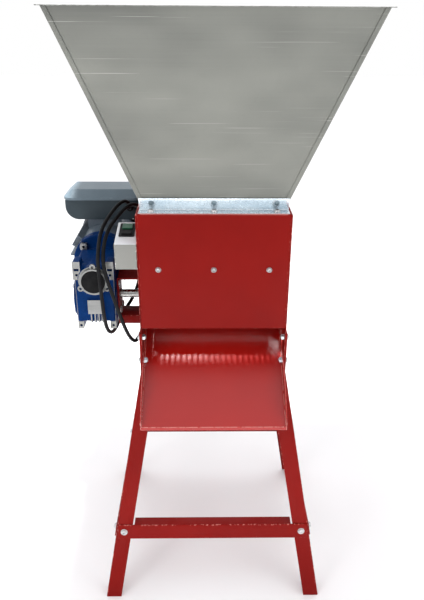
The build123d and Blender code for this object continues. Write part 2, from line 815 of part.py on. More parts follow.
cover = rod("x", case_left - 6, 6, case_foot - 8, axis_at)
cover = fillet(cover.edges().filter_by(GeomType.CIRCLE).group_by(Axis.X)[0], 3)
cover += rod("x", case_left - 9, 4, 30, axis_at)
cover -= rod("x", case_left - 3, 4, 27, axis_at)
for index in range(4):
    turn = math.radians(45 + 90 * index)
    place = (case_left - 6, drum_y + 46 * math.cos(turn), drum_z + 46 * math.sin(turn))
    cover -= bolt_hole(place, (-1, 0, 0), 20)
    case -= frame_toward(place, (-1, 0, 0)) * Cylinder(bolt_radius + thread_clearance, 26)
    drive_bolts.append(bolt(place, (-1, 0, 0), 11, 7, 4.5))
save("gearbox_side_cover", cover)

# input side: worm, its bearings, the end cap and the motor
worm_at = (gear_x, worm_z)
worm_front = case_front_y + 4
worm_bearings = [
    ring("y", case_front_y + 3, bearing_length, worm_bearing_radius, worm_shaft_radius + running_clearance, worm_at),
    ring("y", case_back_y - 16, bearing_length, worm_bearing_radius, worm_shaft_radius + running_clearance, worm_at),
]
worm = rod("y", worm_front, case_back_y - 3 - worm_front, worm_shaft_radius, worm_at)
worm += rod("y", drum_y - 34, 68, worm_radius, worm_at)
for index in range(6):
    y = drum_y - 30 + index * 10
    worm -= ring("y", y, 3.5, worm_radius + 1, worm_radius - 3, worm_at)
save("gearbox_bearings", *wheel_bearings, *worm_bearings)
cap = rod("y", case_front_y - cap_thickness, cap_thickness, cap_radius, worm_at)
for angle in (90, 210, 330):
    turn = math.radians(angle)
    ear_at = (gear_x + cap_ear_radius * math.cos(turn), worm_z + cap_ear_radius * math.sin(turn))
    cap += rod("y", case_front_y - 5, 5, 7, ear_at)
    cap += slab(ear_at[0] - 5, ear_at[0] + 5, case_front_y - 5, case_front_y, ear_at[1] - 5, ear_at[1] + 5)
    cap -= rod("y", case_front_y - 9, 12, cap_hole_radius, ear_at)
cap -= rod("y", case_front_y - cap_thickness - 1, cap_thickness - 1, plug_radius + fit_gap, worm_at)
plug = rod("y", case_front_y - cap_thickness - 1.5, cap_thickness - 0.5, plug_radius, worm_at)
plug = fillet(plug.edges().filter_by(GeomType.CIRCLE).group_by(Axis.Y)[0], 1.5)
save("worm_cap_ring", cap)
save("worm_cap_plug", plug)
save("gearbox_case", case)
save("gearbox_bracket", bracket)
save("drive_bolts", *drive_bolts)

# ---- motor ----
motor_flange = rod("y", motor_start, motor_flange_length, motor_flange_radius, worm_at)
motor_flange += rod("y", motor_start - 3, 5, 19, worm_at)
motor_flange -= rod("y", motor_start - 20, 60, 15, worm_at)
for index in range(4):
    turn = math.radians(45 + 90 * index)
    spot = (gear_x + 58 * math.cos(turn), worm_z + 58 * math.sin(turn))
    motor_flange -= rod("y", motor_start - 1, motor_flange_length + 2, bolt_radius + hole_clearance, spot)
save("motor_flange", motor_flange)

frame = rod("y", frame_start, motor_length, motor_radius, worm_at)
fin_outline = [
    (motor_radius - motor_wall / 2, -fin_root / 2),
    (fin_tip_radius, -fin_sheet / 2),
    (fin_tip_radius, fin_sheet / 2),
    (motor_radius - motor_wall / 2, fin_root / 2),
]
for index in range(fin_count):
    turn = fin_start + 360 * index / fin_count
    if fin_clear[0] < turn < fin_clear[1] - fin_start:
        continue
    fin = prism(fin_outline, "y", frame_start + fin_inset, motor_length - 2 * fin_inset)
    frame += Pos(gear_x, 0, worm_z) * Rot(0, -turn, 0) * fin
seat_top = worm_z + terminal_bottom
box_front = frame_start + terminal_offset
frame += slab(gear_x - 44, gear_x + 44, box_front + 8, box_front + terminal_depth - 8, worm_z + 40, seat_top)
frame -= rod("y", frame_start + 8, motor_length, motor_radius - motor_wall, worm_at)
frame -= rod("y", frame_start - 1, 30, 16, worm_at)
save("motor_frame", frame)

stator_start = frame_start + 55
stator = ring("y", stator_start, rotor_length, motor_radius - motor_wall, stator_bore, worm_at)
save("stator", stator)
rotor = rod("y", stator_start, rotor_length, stator_bore - air_gap, worm_at)
rotor += rod("y", case_back_y - 3, frame_end + 30 - case_back_y + 3, worm_shaft_radius, worm_at)
save("rotor", rotor)
save("worm", worm)

fan_start = frame_end + 10
fan = rod("y", fan_start, 18, 24, worm_at) + rod("y", fan_start, 3, fan_radius - 6, worm_at)
for index in range(7):
    vane = slab(20, fan_radius - 6, fan_start, fan_start + 18, -1, 1)
    fan += Pos(gear_x, 0, worm_z) * Rot(0, 360 * index / 7, 0) * vane
fan -= rod("y", fan_start - 1, 40, worm_shaft_radius, worm_at)
save("fan", fan)

fan_cover = rod("y", frame_end - 14, fan_cover_length + 14, fin_tip_radius + 2, worm_at)
fan_cover = fillet(fan_cover.edges().filter_by(GeomType.CIRCLE).group_by(Axis.Y)[-1], 12)
cavity = rod("y", frame_end - 15, fan_cover_length + 15 - fan_cover_wall, fin_tip_radius + fit_gap, worm_at)
fan_cover -= fillet(cavity.edges().filter_by(GeomType.CIRCLE).group_by(Axis.Y)[-1], 11)
for radius in (24, 40, 56):
    holes = round(radius / 4)
    for index in range(holes):
        turn = 2 * math.pi * index / holes
        spot = (gear_x + radius * math.cos(turn), worm_z + radius * math.sin(turn))
        fan_cover -= rod("y", frame_end + fan_cover_length - 20, 30, 4.5, spot)
save("fan_cover", fan_cover)

# terminal box on the motor, with its lid and the run capacitor
box_x0 = gear_x - terminal_width / 2
box_x1 = gear_x + terminal_width / 2
box_back = box_front + terminal_depth
box_top = seat_top + terminal_height
terminal = slab(box_x0, box_x1, box_front, box_back, seat_top, box_top)
terminal = fillet(terminal.edges().filter_by(Axis.Y).group_by(Axis.Z)[0], terminal_round)
hollow = slab(box_x0 + terminal_wall, box_x1 - terminal_wall, box_front + terminal_wall,
              box_back - terminal_wall, seat_top + terminal_wall, box_top + terminal_round)
hollow = fillet(hollow.edges().filter_by(Axis.Y).group_by(Axis.Z)[0], terminal_round - terminal_wall)
terminal -= hollow
lid_top = box_top + lid_rim
lid = slab(box_x0 - lid_overhang, box_x1 + lid_overhang, box_front - lid_overhang, box_back + lid_overhang,
           box_top, lid_top)
lid = fillet(lid.edges().filter_by(Axis.Z), lid_corner)
lid += extrude(lid.faces().sort_by(Axis.Z)[-1], amount=lid_rise, taper=lid_taper)
lid -= slab(box_x0 + terminal_wall, box_x1 - terminal_wall, box_front + terminal_wall, box_back - terminal_wall,
            box_top - 1, lid_top - terminal_wall / 2)
save("terminal_lid", lid)
capacitor_z = seat_top + terminal_wall + capacitor_radius + 4
save("capacitor", rod("x", gear_x - capacitor_length / 2, capacitor_length, capacitor_radius,
                      (box_front + terminal_depth / 2, capacitor_z)))

# ---- control box on the left side plate, with the two-button switch ----
panel_x1 = -half_width - fit_gap
panel_x0 = panel_x1 - control_width
control_back = front_face + control_depth
front_top = control_bottom + control_front
lid_slope = math.atan(control_rise / control_depth)
control = prism([
    (front_face, control_bottom), (front_face, front_top), (control_back, front_top + control_rise),
    (control_back, control_bottom),
], "x", panel_x0, control_width)
wall = control_wall
control -= prism([
    (front_face + wall, control_bottom + wall), (front_face + wall, front_top - wall),
    (control_back - wall, front_top + control_rise - wall), (control_back - wall, control_bottom + wall),
], "x", panel_x0 + wall, control_width - 2 * wall)
switch_at = (front_face + control_depth * 0.62, front_top + control_rise * 0.62)
switch_frame = Plane(origin=((panel_x0 + panel_x1) / 2, switch_at[0], switch_at[1]), x_dir=(1, 0, 0),
                     z_dir=(0, -math.sin(lid_slope), math.cos(lid_slope)))
pocket = Box(switch_width, switch_length, 60)
control -= switch_frame * pocket
lower = Box(switch_width - 2 * fit_gap, switch_length - 2 * fit_gap, switch_depth,
            align=(Align.CENTER, Align.CENTER, Align.MAX))
rim = Box(switch_width + 6, switch_length + 6, switch_rim, align=(Align.CENTER, Align.CENTER, Align.MIN))
rim = fillet(rim.edges().filter_by(Axis.Z), 3)
switch = lower + Pos(0, 0, fit_gap) * rim + Pos(0, 0, -0.5) * Box(switch_width - 2, switch_length - 2, 2)
buttons = {
    "start_button": (start_length, switch_length / 2 - start_length / 2 - 3),
    "stop_button": (stop_length, stop_length / 2 - switch_length / 2 + 3),
}
button_height = button_proud + button_grip
button_top = switch_rim + fit_gap + button_proud
well_depth = button_grip + button_travel + button_room
for name, (length, y) in buttons.items():
    well = Box(button_width + 2 * button_gap, length + 2 * button_gap, well_depth,
               align=(Align.CENTER, Align.CENTER, Align.MAX))
    switch -= Pos(0, y, button_grip) * well
    button = Box(button_width, length, button_height, align=(Align.CENTER, Align.CENTER, Align.MAX))
    button = fillet(button.edges().filter_by(Axis.Z), 1.5)
    button = fillet(button.faces().sort_by(Axis.Z)[-1].edges(), 1)
    save(name, switch_frame * Pos(0, y, button_top) * button)
save("switch_body", switch_frame * switch)
inlet_z = control_bottom + 54
inlet = rod("y", control_back + fit_gap, 30, 15, ((panel_x0 + panel_x1) / 2, inlet_z))
inlet -= rod("y", control_back + 8, 30, 12.5, ((panel_x0 + panel_x1) / 2, inlet_z))
save("power_inlet", inlet)

# interlock switch behind the left edge of the front panel, held in by the panel
lock_x = -plate_inner + 1
lock_z = panel_bottom + 22
interlock = slab(lock_x - 1, lock_x + 26, front_face + plate_sheet + 1, front_face + 30, lock_z - 18, lock_z + 18)
interlock = fillet(interlock.edges().filter_by(Axis.X), 3)
interlock += rod("y", front_face + fit_gap, 6, 2.5, (lock_x + 23, lock_z))
save("interlock_switch", interlock)

# ---- cables: routes are hand-chosen points, in order from the terminal box ----
motor_route = [
    (-212, 94, 988), (-212, 62, 988), (-208, 40, 1014), (-224, 14, 1026), (-252, -38, 1000), (-264, -84, 978),
    (-266, -120, 950), (-266, -141, 920), (-263, -147, 878), (-261, -147, 832), (-260, -143, 789),
    (-256, -134, 747), (-249, -108, 725), (-243, -62, 720), (-240, -28, 726), (-232, 6, 732),
    (-212, 40, 752), (-194, 58, 795), (-189, 62, 850), (-192, 48, 898), (-202, 20, 924), (-203, -8, 926),
    (-203, -50, 926),
]
interlock_route = [
    (-190, 94, 988), (-190, 62, 988), (-189, 40, 1008), (-206, 12, 1018), (-238, -38, 992), (-252, -84, 971),
    (-255, -120, 946), (-254, -139, 920), (-248, -147, 888), (-237, -147, 850), (-227, -146, 812),
    (-218, -139, 774), (-209, -129, 738), (-204, -112, 710), (-194, -98, 714), (-176, -98, 714),
]
gland_places = [
    ((gear_x + box_gland_places[0], box_front, seat_top + gland_rise), (0, -1, 0)),
    ((gear_x + box_gland_places[1], box_front, seat_top + gland_rise), (0, -1, 0)),
    ((panel_x1 - control_gland_inset, control_back, control_bottom + control_gland_rise), (0, 1, 0)),
    ((-half_width, front_face - leg_sheet + leg_section + side_gland_gap, side_gland_height), (-1, 0, 0)),
]


def gland(place, direction, length):
    """A cable gland: a hexagon foot and a round dome nut around the cable."""
    body = extrude(RegularPolygon(gland_flats, 6), length * 0.4)
    dome = Cylinder(gland_radius, length * 0.6, align=(Align.CENTER, Align.CENTER, Align.MIN))
    dome = fillet(dome.edges().filter_by(GeomType.CIRCLE).group_by(Axis.Z)[-1], 3)
    body += Pos(0, 0, length * 0.4) * dome
    body -= Cylinder(cable_radius + fit_gap, 4 * length)
    return frame_toward(place, direction) * body


def cable(points, radius):
    """A round cable along straight runs with rounded corners."""
    path = FilletPolyline(*points, radius=route_bend)
    section = Plane(origin=path @ 0, z_dir=path % 0) * Circle(radius)
    return sweep(section, path=path)


save("motor_cable", cable(motor_route, cable_radius))
save("interlock_cable", cable(interlock_route, cable_radius))

glands = [gland(place, way, gland_length if way[1] else gland_length / 2) for place, way in gland_places]
save("cable_glands", *glands)
save("control_box", control)
save("terminal_box", terminal)
for side, shape in plates.items():
    save(f"side_plate_{side_names[side]}", shape)
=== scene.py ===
import json
import math
import bmesh
import bpy
from mathutils import Matrix, Vector

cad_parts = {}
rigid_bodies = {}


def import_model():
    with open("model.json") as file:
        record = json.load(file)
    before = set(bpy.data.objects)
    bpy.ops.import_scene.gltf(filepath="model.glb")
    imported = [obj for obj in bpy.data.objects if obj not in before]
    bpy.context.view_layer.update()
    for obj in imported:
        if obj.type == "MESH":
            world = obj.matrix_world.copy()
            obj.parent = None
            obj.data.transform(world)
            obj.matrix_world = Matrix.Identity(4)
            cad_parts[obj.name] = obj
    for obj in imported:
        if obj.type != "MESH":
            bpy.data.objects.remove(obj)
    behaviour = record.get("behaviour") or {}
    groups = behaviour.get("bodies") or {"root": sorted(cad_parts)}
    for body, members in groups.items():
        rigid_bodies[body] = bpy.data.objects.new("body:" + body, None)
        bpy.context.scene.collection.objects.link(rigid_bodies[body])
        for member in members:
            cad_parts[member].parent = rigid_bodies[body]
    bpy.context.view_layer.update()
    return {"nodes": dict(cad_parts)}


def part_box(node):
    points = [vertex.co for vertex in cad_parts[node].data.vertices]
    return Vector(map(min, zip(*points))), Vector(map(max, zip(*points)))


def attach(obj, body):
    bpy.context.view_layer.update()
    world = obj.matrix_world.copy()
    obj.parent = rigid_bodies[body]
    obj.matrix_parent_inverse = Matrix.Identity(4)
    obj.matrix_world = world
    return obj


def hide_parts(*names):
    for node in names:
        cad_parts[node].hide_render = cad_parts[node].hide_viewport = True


for leftover in list(bpy.data.objects):
    bpy.data.objects.remove(leftover)
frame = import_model()
nodes = frame["nodes"]
mm = 0.001
print("frame loaded:", len(nodes), "nodes")


# camera: standing in front of the machine, a little to its left, looking down on it
camera = {"place": (-0.0218, -1.5107, 1.4577), "tilt": 24.46, "turn": 1.0, "roll": 0.38, "lens": 38.4,
          "shift": (-0.0042, -0.0033)}


def setCamera(look):
    tilt, turn, roll = (math.radians(look[key]) for key in ("tilt", "turn", "roll"))
    ahead = Vector((math.sin(turn) * math.cos(tilt), math.cos(turn) * math.cos(tilt), -math.sin(tilt)))
    right = Vector((math.cos(turn), -math.sin(turn), 0))
    up = right.cross(ahead)
    rolledRight = right * math.cos(roll) + up * math.sin(roll)
    rolledUp = up * math.cos(roll) - right * math.sin(roll)
    eye = bpy.data.objects.new("eye", bpy.data.cameras.new("eye"))
    bpy.context.scene.collection.objects.link(eye)
    turned = Matrix((rolledRight, rolledUp, -ahead)).transposed().to_4x4()
    eye.matrix_world = Matrix.Translation(look["place"]) @ turned
    eye.data.lens = look["lens"]
    eye.data.sensor_width = 36
    eye.data.shift_x, eye.data.shift_y = look["shift"]
    bpy.context.scene.camera = eye


setCamera(camera)


# shader helpers
def addNode(tree, kind, sockets=None, settings=None):
    made = tree.nodes.new(kind)
    for key, value in (settings or {}).items():
        setattr(made, key, value)
    for key, value in (sockets or {}).items():
        if isinstance(value, bpy.types.NodeSocket):
            tree.links.new(value, made.inputs[key])
        else:
            made.inputs[key].default_value = value
    return made


def mixColour(tree, share, first, second, way="MIX"):
    made = addNode(tree, "ShaderNodeMix", settings={"data_type": "RGBA", "blend_type": way})
    for index, value in ((0, share), (6, first), (7, second)):
        if isinstance(value, bpy.types.NodeSocket):
            tree.links.new(value, made.inputs[index])
        else:
            made.inputs[index].default_value = (*value, 1) if index else value
    return made.outputs[2]


def spread(tree, value, fromLow, fromHigh, toLow=0.0, toHigh=1.0):
    settings = {"From Min": fromLow, "From Max": fromHigh, "To Min": toLow, "To Max": toHigh, "Value": value}
    return addNode(tree, "ShaderNodeMapRange", settings).outputs[0]


def noiseOf(tree, vector, scale, detail=3.0, roughness=0.55):
    sockets = {"Vector": vector, "Scale": scale, "Detail": detail, "Roughness": roughness}
    return addNode(tree, "ShaderNodeTexNoise", sockets).outputs[0]


def stretched(tree, vector, scale, turn=(0, 0, 0)):
    return addNode(tree, "ShaderNodeMapping", {"Vector": vector, "Scale": scale, "Rotation": turn}).outputs[0]


def times(tree, first, second, way="MULTIPLY"):
    made = addNode(tree, "ShaderNodeMath", {0: first, 1: second}, {"operation": way})
    return made.outputs[0]


def bumpOf(tree, height, depth, under=None):
    sockets = {"Height": height, "Distance": depth, "Strength": 1.0}
    if under is not None:
        sockets["Normal"] = under
    return addNode(tree, "ShaderNodeBump", sockets).outputs[0]


def startFinish(name):
    made = bpy.data.materials.new(name)
    made.use_nodes = True
    tree = made.node_tree
    shader = tree.nodes["Principled BSDF"]
    place = addNode(tree, "ShaderNodeTexCoord").outputs["Object"]
    return made, tree, shader, place


def wornEdges(tree, place, colour, wear, wearColour):
    edge = addNode(tree, "ShaderNodeAttribute", settings={"attribute_name": "edge"}).outputs["Fac"]
    spots = spread(tree, noiseOf(tree, place, 140, 5), 0.6 - 0.25 * wear, 0.66 - 0.2 * wear)
    return mixColour(tree, times(tree, edge, spots), colour, wearColour)


def paintFinish(name, look):
    made, tree, shader, place = startFinish(name)
    broad = spread(tree, noiseOf(tree, place, look["broadScale"], 3), 0.35, 0.65)
    colour = mixColour(tree, broad, look["colour"], look["second"])
    specks = spread(tree, noiseOf(tree, place, 520, 2), 0.7, 0.76, 0, 0.35)
    colour = mixColour(tree, specks, colour, look["speck"])
    upward = addNode(tree, "ShaderNodeSeparateXYZ",
                     {0: addNode(tree, "ShaderNodeNewGeometry").outputs["Normal"]}).outputs[2]
    settled = spread(tree, upward, 0.5, 1)
    dusty = times(tree, settled, spread(tree, noiseOf(tree, place, 30, 4), 0.4, 0.75, 0, look["dust"]))
    colour = mixColour(tree, dusty, colour, look["dustColour"])
    colour = wornEdges(tree, place, colour, look["wear"], look["wearColour"])
    tree.links.new(colour, shader.inputs["Base Color"])
    shine = spread(tree, noiseOf(tree, place, 22, 4), 0.3, 0.7, *look["roughness"])
    tree.links.new(times(tree, shine, times(tree, dusty, 0.5), "ADD"), shader.inputs["Roughness"])
    peel = bumpOf(tree, noiseOf(tree, place, look["peelScale"], 2), look["peelDepth"])
    tree.links.new(peel, shader.inputs["Normal"])
    shader.inputs["Coat Weight"].default_value = look["coat"]
    shader.inputs["Coat Roughness"].default_value = look["coatRoughness"]
    shader.inputs["Specular IOR Level"].default_value = look["gloss"]
    return made


def sheetFinish(name, look):
    made, tree, shader, place = startFinish(name)
    cells = addNode(tree, "ShaderNodeTexVoronoi", {"Vector": place, "Scale": look["spangleScale"]})
    spangle = spread(tree, cells.outputs["Color"], 0, 1, 1 - look["spangle"], 1 + look["spangle"] * 0.6)
    stains = noiseOf(tree, stretched(tree, place, (1, 1.4, 2)), look["broadScale"], 2)
    broad = spread(tree, stains, 0.36, 0.66)
    colour = mixColour(tree, broad, look["colour"], look["second"])
    colour = mixColour(tree, 1.0, colour, spangle, "MULTIPLY")
    rolled = noiseOf(tree, stretched(tree, place, look["rolled"]), 1.0, 6, 0.7)
    streaks = spread(tree, rolled, 0.35, 0.7, 0, look["streak"])
    colour = mixColour(tree, streaks, colour, look["streakColour"])
    scraped = noiseOf(tree, stretched(tree, place, look["scratch"], (0.12, 0.2, 0.1)), 1.0, 2)
    scratches = spread(tree, scraped, 0.69, 0.72, 0, 0.5)
    colour = mixColour(tree, scratches, colour, look["scratchColour"])
    colour = wornEdges(tree, place, colour, look["wear"], look["wearColour"])
    tree.links.new(colour, shader.inputs["Base Color"])
    shine = spread(tree, rolled, 0.3, 0.75, *look["roughness"])
    patches = spread(tree, cells.outputs["Color"], 0, 1, -0.05, 0.05)
    tree.links.new(times(tree, shine, patches, "ADD"), shader.inputs["Roughness"])
    under = bumpOf(tree, rolled, look["rolledDepth"])
    waves = noiseOf(tree, place, look["waveScale"], 2)
    tree.links.new(bumpOf(tree, waves, look["waveDepth"], under), shader.inputs["Normal"])
    shader.inputs["Metallic"].default_value = look["metallic"]
    return made


def mouldedFinish(name, look):
    made, tree, shader, place = startFinish(name)
    broad = spread(tree, noiseOf(tree, place, look["broadScale"], 4), 0.35, 0.7)
    colour = mixColour(tree, broad, look["colour"], look["second"])
    colour = wornEdges(tree, place, colour, look["wear"], look["wearColour"])
    tree.links.new(colour, shader.inputs["Base Color"])
    grain = noiseOf(tree, place, look["grainScale"], 3)
    tree.links.new(spread(tree, grain, 0.3, 0.7, *look["roughness"]), shader.inputs["Roughness"])
    tree.links.new(bumpOf(tree, grain, look["grainDepth"]), shader.inputs["Normal"])
    shader.inputs["Metallic"].default_value = look.get("metallic", 0)
    shader.inputs["Specular IOR Level"].default_value = look.get("gloss", 0.5)
    return made


def castFinish(name, look):
    made, tree, shader, place = startFinish(name)
    broad = spread(tree, noiseOf(tree, place, 26, 5), 0.35, 0.68)
    colour = mixColour(tree, broad, look["colour"], look["second"])
    worn = spread(tree, noiseOf(tree, place, 210, 4), 0.66, 0.7, 0, look["chip"])
    colour = mixColour(tree, worn, colour, look["chipColour"])
    tree.links.new(colour, shader.inputs["Base Color"])
    sand = noiseOf(tree, place, 430, 4, 0.65)
    tree.links.new(spread(tree, sand, 0.3, 0.7, *look["roughness"]), shader.inputs["Roughness"])
    under = bumpOf(tree, sand, look["sandDepth"])
    lumps = noiseOf(tree, place, 70, 3)
    tree.links.new(bumpOf(tree, lumps, look["sandDepth"] * 3, under), shader.inputs["Normal"])
    shader.inputs["Metallic"].default_value = look.get("metallic", 0)
    shader.inputs["Coat Weight"].default_value = look.get("coat", 0)
    shader.inputs["Coat Roughness"].default_value = 0.25
    shader.inputs["Specular IOR Level"].default_value = look.get("gloss", 0.5)
    return made


def layeredFinish(name, look):
    made, tree, shader, place = startFinish(name)
    sockets = {"Vector": place, "Scale": look["bandScale"], "Distortion": 0.4, "Detail": 1.0}
    bands = addNode(tree, "ShaderNodeTexWave", sockets, {"bands_direction": "Y"}).outputs["Fac"]
    colour = mixColour(tree, bands, look["colour"], look["second"])
    tree.links.new(colour, shader.inputs["Base Color"])
    tree.links.new(bumpOf(tree, bands, 0.0002), shader.inputs["Normal"])
    tree.links.new(spread(tree, noiseOf(tree, place, 90), 0.3, 0.7, 0.35, 0.6), shader.inputs["Roughness"])
    shader.inputs["Metallic"].default_value = 0.9
    return made


# one look for every finish slot of the machine
redPaint = {"colour": (0.235, 0.0055, 0.0035), "second": (0.205, 0.0045, 0.003), "broadScale": 4.5,
            "speck": (0.5, 0.06, 0.05), "dust": 0.02, "dustColour": (0.5, 0.32, 0.3), "wear": 0.25,
            "wearColour": (0.62, 0.2, 0.17), "roughness": (0.4, 0.5), "peelScale": 330,
            "peelDepth": 0.00005, "coat": 0.05, "coatRoughness": 0.1, "gloss": 0.06}
bluePaint = {"colour": (0.0015, 0.031, 0.14), "second": (0.001, 0.019, 0.09), "chip": 0.12,
             "chipColour": (0.1, 0.2, 0.42), "roughness": (0.24, 0.42), "sandDepth": 0.00012,
             "coat": 0.0, "gloss": 0.05}
blackIron = {"colour": (0.05, 0.052, 0.055), "second": (0.028, 0.028, 0.03), "chip": 0.3,
             "chipColour": (0.2, 0.19, 0.18), "roughness": (0.45, 0.7), "sandDepth": 0.0002,
             "metallic": 0.4}
motorGrey = {"colour": (0.13, 0.165, 0.2), "second": (0.085, 0.11, 0.14), "chip": 0.2,
             "chipColour": (0.34, 0.38, 0.4), "roughness": (0.35, 0.55), "sandDepth": 0.00012,
             "metallic": 0.15, "coat": 0.15}
galvanised = {"colour": (0.235, 0.24, 0.215), "second": (0.15, 0.154, 0.14), "spangle": 0.05,
              "spangleScale": 75, "broadScale": 3.2, "rolled": (3, 3, 260), "streak": 0.2,
              "streakColour": (0.29, 0.295, 0.27), "scratch": (3, 30, 420),
              "scratchColour": (0.5, 0.5, 0.47), "wear": 0.8, "wearColour": (0.4, 0.41, 0.39),
              "roughness": (0.5, 0.62), "rolledDepth": 0.00002, "waveScale": 6, "waveDepth": 0.0012,
              "metallic": 0.55}
zincPlate = {"colour": (0.82, 0.9, 0.95), "second": (0.66, 0.76, 0.83), "spangle": 0.05,
             "spangleScale": 120, "broadScale": 14, "rolled": (8, 200, 200), "streak": 0.18,
             "streakColour": (0.74, 0.76, 0.72), "scratch": (10, 300, 300),
             "scratchColour": (0.95, 0.97, 1.0), "wear": 0.9, "wearColour": (0.9, 0.93, 0.95),
             "roughness": (0.2, 0.32), "rolledDepth": 0.000004, "waveScale": 30, "waveDepth": 0.00008,
             "metallic": 0.8}
stainless = {"colour": (0.58, 0.57, 0.55), "second": (0.47, 0.46, 0.45), "spangle": 0.03,
             "spangleScale": 90, "broadScale": 8, "rolled": (300, 6, 300), "streak": 0.3,
             "streakColour": (0.7, 0.7, 0.69), "scratch": (260, 12, 300),
             "scratchColour": (0.8, 0.8, 0.8), "wear": 0.9, "wearColour": (0.8, 0.8, 0.79),
             "roughness": (0.25, 0.42), "rolledDepth": 0.00002, "waveScale": 30, "waveDepth": 0.0002,
             "metallic": 1.0}
groundSteel = dict(stainless, colour=(0.5, 0.49, 0.47), second=(0.38, 0.37, 0.36), rolled=(500, 8, 8),
                   roughness=(0.2, 0.36))
bearingSteel = dict(stainless, colour=(0.62, 0.62, 0.63), second=(0.5, 0.5, 0.52), roughness=(0.12, 0.25))
bareAluminium = dict(stainless, colour=(0.3, 0.3, 0.29), second=(0.2, 0.205, 0.2), rolled=(30, 30, 600),
                     roughness=(0.28, 0.46), streakColour=(0.4, 0.4, 0.4), scratchColour=(0.5, 0.5, 0.5),
                     wearColour=(0.5, 0.5, 0.5))
capacitorShell = dict(stainless, colour=(0.6, 0.6, 0.6), second=(0.5, 0.5, 0.52), roughness=(0.3, 0.5))
bronze = dict(stainless, colour=(0.55, 0.33, 0.13), second=(0.42, 0.24, 0.09),
              streakColour=(0.66, 0.44, 0.2), scratchColour=(0.75, 0.55, 0.3),
              wearColour=(0.75, 0.55, 0.3))
greySheet = {"colour": (0.27, 0.27, 0.25), "second": (0.245, 0.245, 0.225), "broadScale": 9,
             "speck": (0.42, 0.42, 0.39), "dust": 0.1, "dustColour": (0.5, 0.5, 0.48), "wear": 0.1,
             "wearColour": (0.78, 0.78, 0.74), "roughness": (0.38, 0.5), "peelScale": 420,
             "peelDepth": 0.00005, "coat": 0.2, "coatRoughness": 0.25, "gloss": 0.4}
laminations = {"colour": (0.2, 0.19, 0.18), "second": (0.09, 0.085, 0.08), "bandScale": 320}
blackPlastic = {"colour": (0.01, 0.01, 0.011), "second": (0.02, 0.02, 0.021), "broadScale": 40,
                "gloss": 0.08, "grainScale": 1500, "grainDepth": 0.00003, "roughness": (0.32, 0.5),
                "wear": 0.4, "wearColour": (0.12, 0.12, 0.12)}
boxPlastic = {"colour": (0.032, 0.052, 0.064), "second": (0.022, 0.036, 0.046), "broadScale": 12,
              "grainScale": 1100, "grainDepth": 0.00004, "roughness": (0.3, 0.46), "wear": 0.05,
              "wearColour": (0.2, 0.25, 0.28), "gloss": 0.35}
blackRubber = {"colour": (0.008, 0.008, 0.009), "second": (0.014, 0.014, 0.014), "broadScale": 60,
               "gloss": 0.08, "grainScale": 900, "grainDepth": 0.00006, "roughness": (0.55, 0.75),
               "wear": 0, "wearColour": (0.1, 0.1, 0.1)}
greenPlastic = {"colour": (0.008, 0.075, 0.035), "second": (0.012, 0.11, 0.05), "broadScale": 90,
                "grainScale": 1500, "grainDepth": 0.00002, "roughness": (0.25, 0.4), "wear": 0.5,
                "wearColour": (0.1, 0.3, 0.2)}
cableRubber = {"colour": (0.009, 0.009, 0.01), "second": (0.016, 0.016, 0.017), "broadScale": 24,
               "gloss": 0.1, "grainScale": 700, "grainDepth": 0.00008, "roughness": (0.36, 0.55),
               "wear": 0, "wearColour": (0.1, 0.1, 0.1)}

finishes = {
    "red_paint": paintFinish("redPaint", redPaint),
    "blue_paint": castFinish("bluePaint", bluePaint),
    "cast_iron_black": castFinish("blackIron", blackIron),
    "motor_grey": castFinish("motorGrey", motorGrey),
    "galvanised_sheet": sheetFinish("galvanisedSheet", galvanised),
    "zinc_plate": sheetFinish("zincPlate", zincPlate),
    "stainless_steel": sheetFinish("stainlessSteel", stainless),
    "ground_steel": sheetFinish("groundSteel", groundSteel),
    "bearing_steel": sheetFinish("bearingSteel", bearingSteel),
    "bare_aluminium": sheetFinish("bareAluminium", bareAluminium),
    "capacitor_shell": sheetFinish("capacitorShell", capacitorShell),
    "bronze": sheetFinish("bronzeWheel", bronze),
    "grey_sheet": paintFinish("greySheet", greySheet),
    "laminations": layeredFinish("laminations", laminations),
    "black_plastic": mouldedFinish("blackPlastic", blackPlastic),
    "box_plastic": mouldedFinish("boxPlastic", boxPlastic),
    "black_rubber": mouldedFinish("blackRubber", blackRubber),
    "green_plastic": mouldedFinish("greenPlastic", greenPlastic),
    "cable_rubber": mouldedFinish("cableRubber", cableRubber),
}
print("finishes made:", len(finishes))


def slotOf(node):
    names = [slot.material.name for slot in nodes[node].material_slots if slot.material]
    return names[0].split(".")[0] if names else "red_paint"


nodeSlots = {name: slotOf(name) for name in nodes}
for name, thing in nodes.items():
    thing.data.materials.clear()
    thing.data.materials.append(finishes[nodeSlots[name]])
print("carried nodes dressed", sorted(set(nodeSlots.values())))


# mesh helpers: merge distance, flattening angle, fold angle and the narrowest face that can be folded
shaping = {"merge": 0.00002, "flat": math.radians(0.6), "fold": math.radians(28), "narrow": 0.0065,
           "shortest": 0.018}


def putIn(name, mesh, slotName, body="frame", stands=()):
    thing = bpy.data.objects.new(name, mesh)
    bpy.context.scene.collection.objects.link(thing)
    if not mesh.materials:
        mesh.materials.append(finishes[slotName])
    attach(thing, body)
    if stands:
        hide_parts(*stands)
    return thing


def shadeByAngle(shape, degrees=32):
    limit = math.radians(degrees)
    for face in shape.faces:
        face.smooth = True
    for edge in shape.edges:
        edge.smooth = edge.is_manifold and edge.calc_face_angle(0) < limit


def mergedCopy(node):
    shape = bmesh.new()
    shape.from_mesh(nodes[node].data)
    bmesh.ops.remove_doubles(shape, verts=shape.verts, dist=shaping["merge"])
    return shape


def isLong(edge):
    turned = edge.is_manifold and edge.calc_face_angle(0) > shaping["fold"]
    return turned and edge.calc_length() > shaping["shortest"]


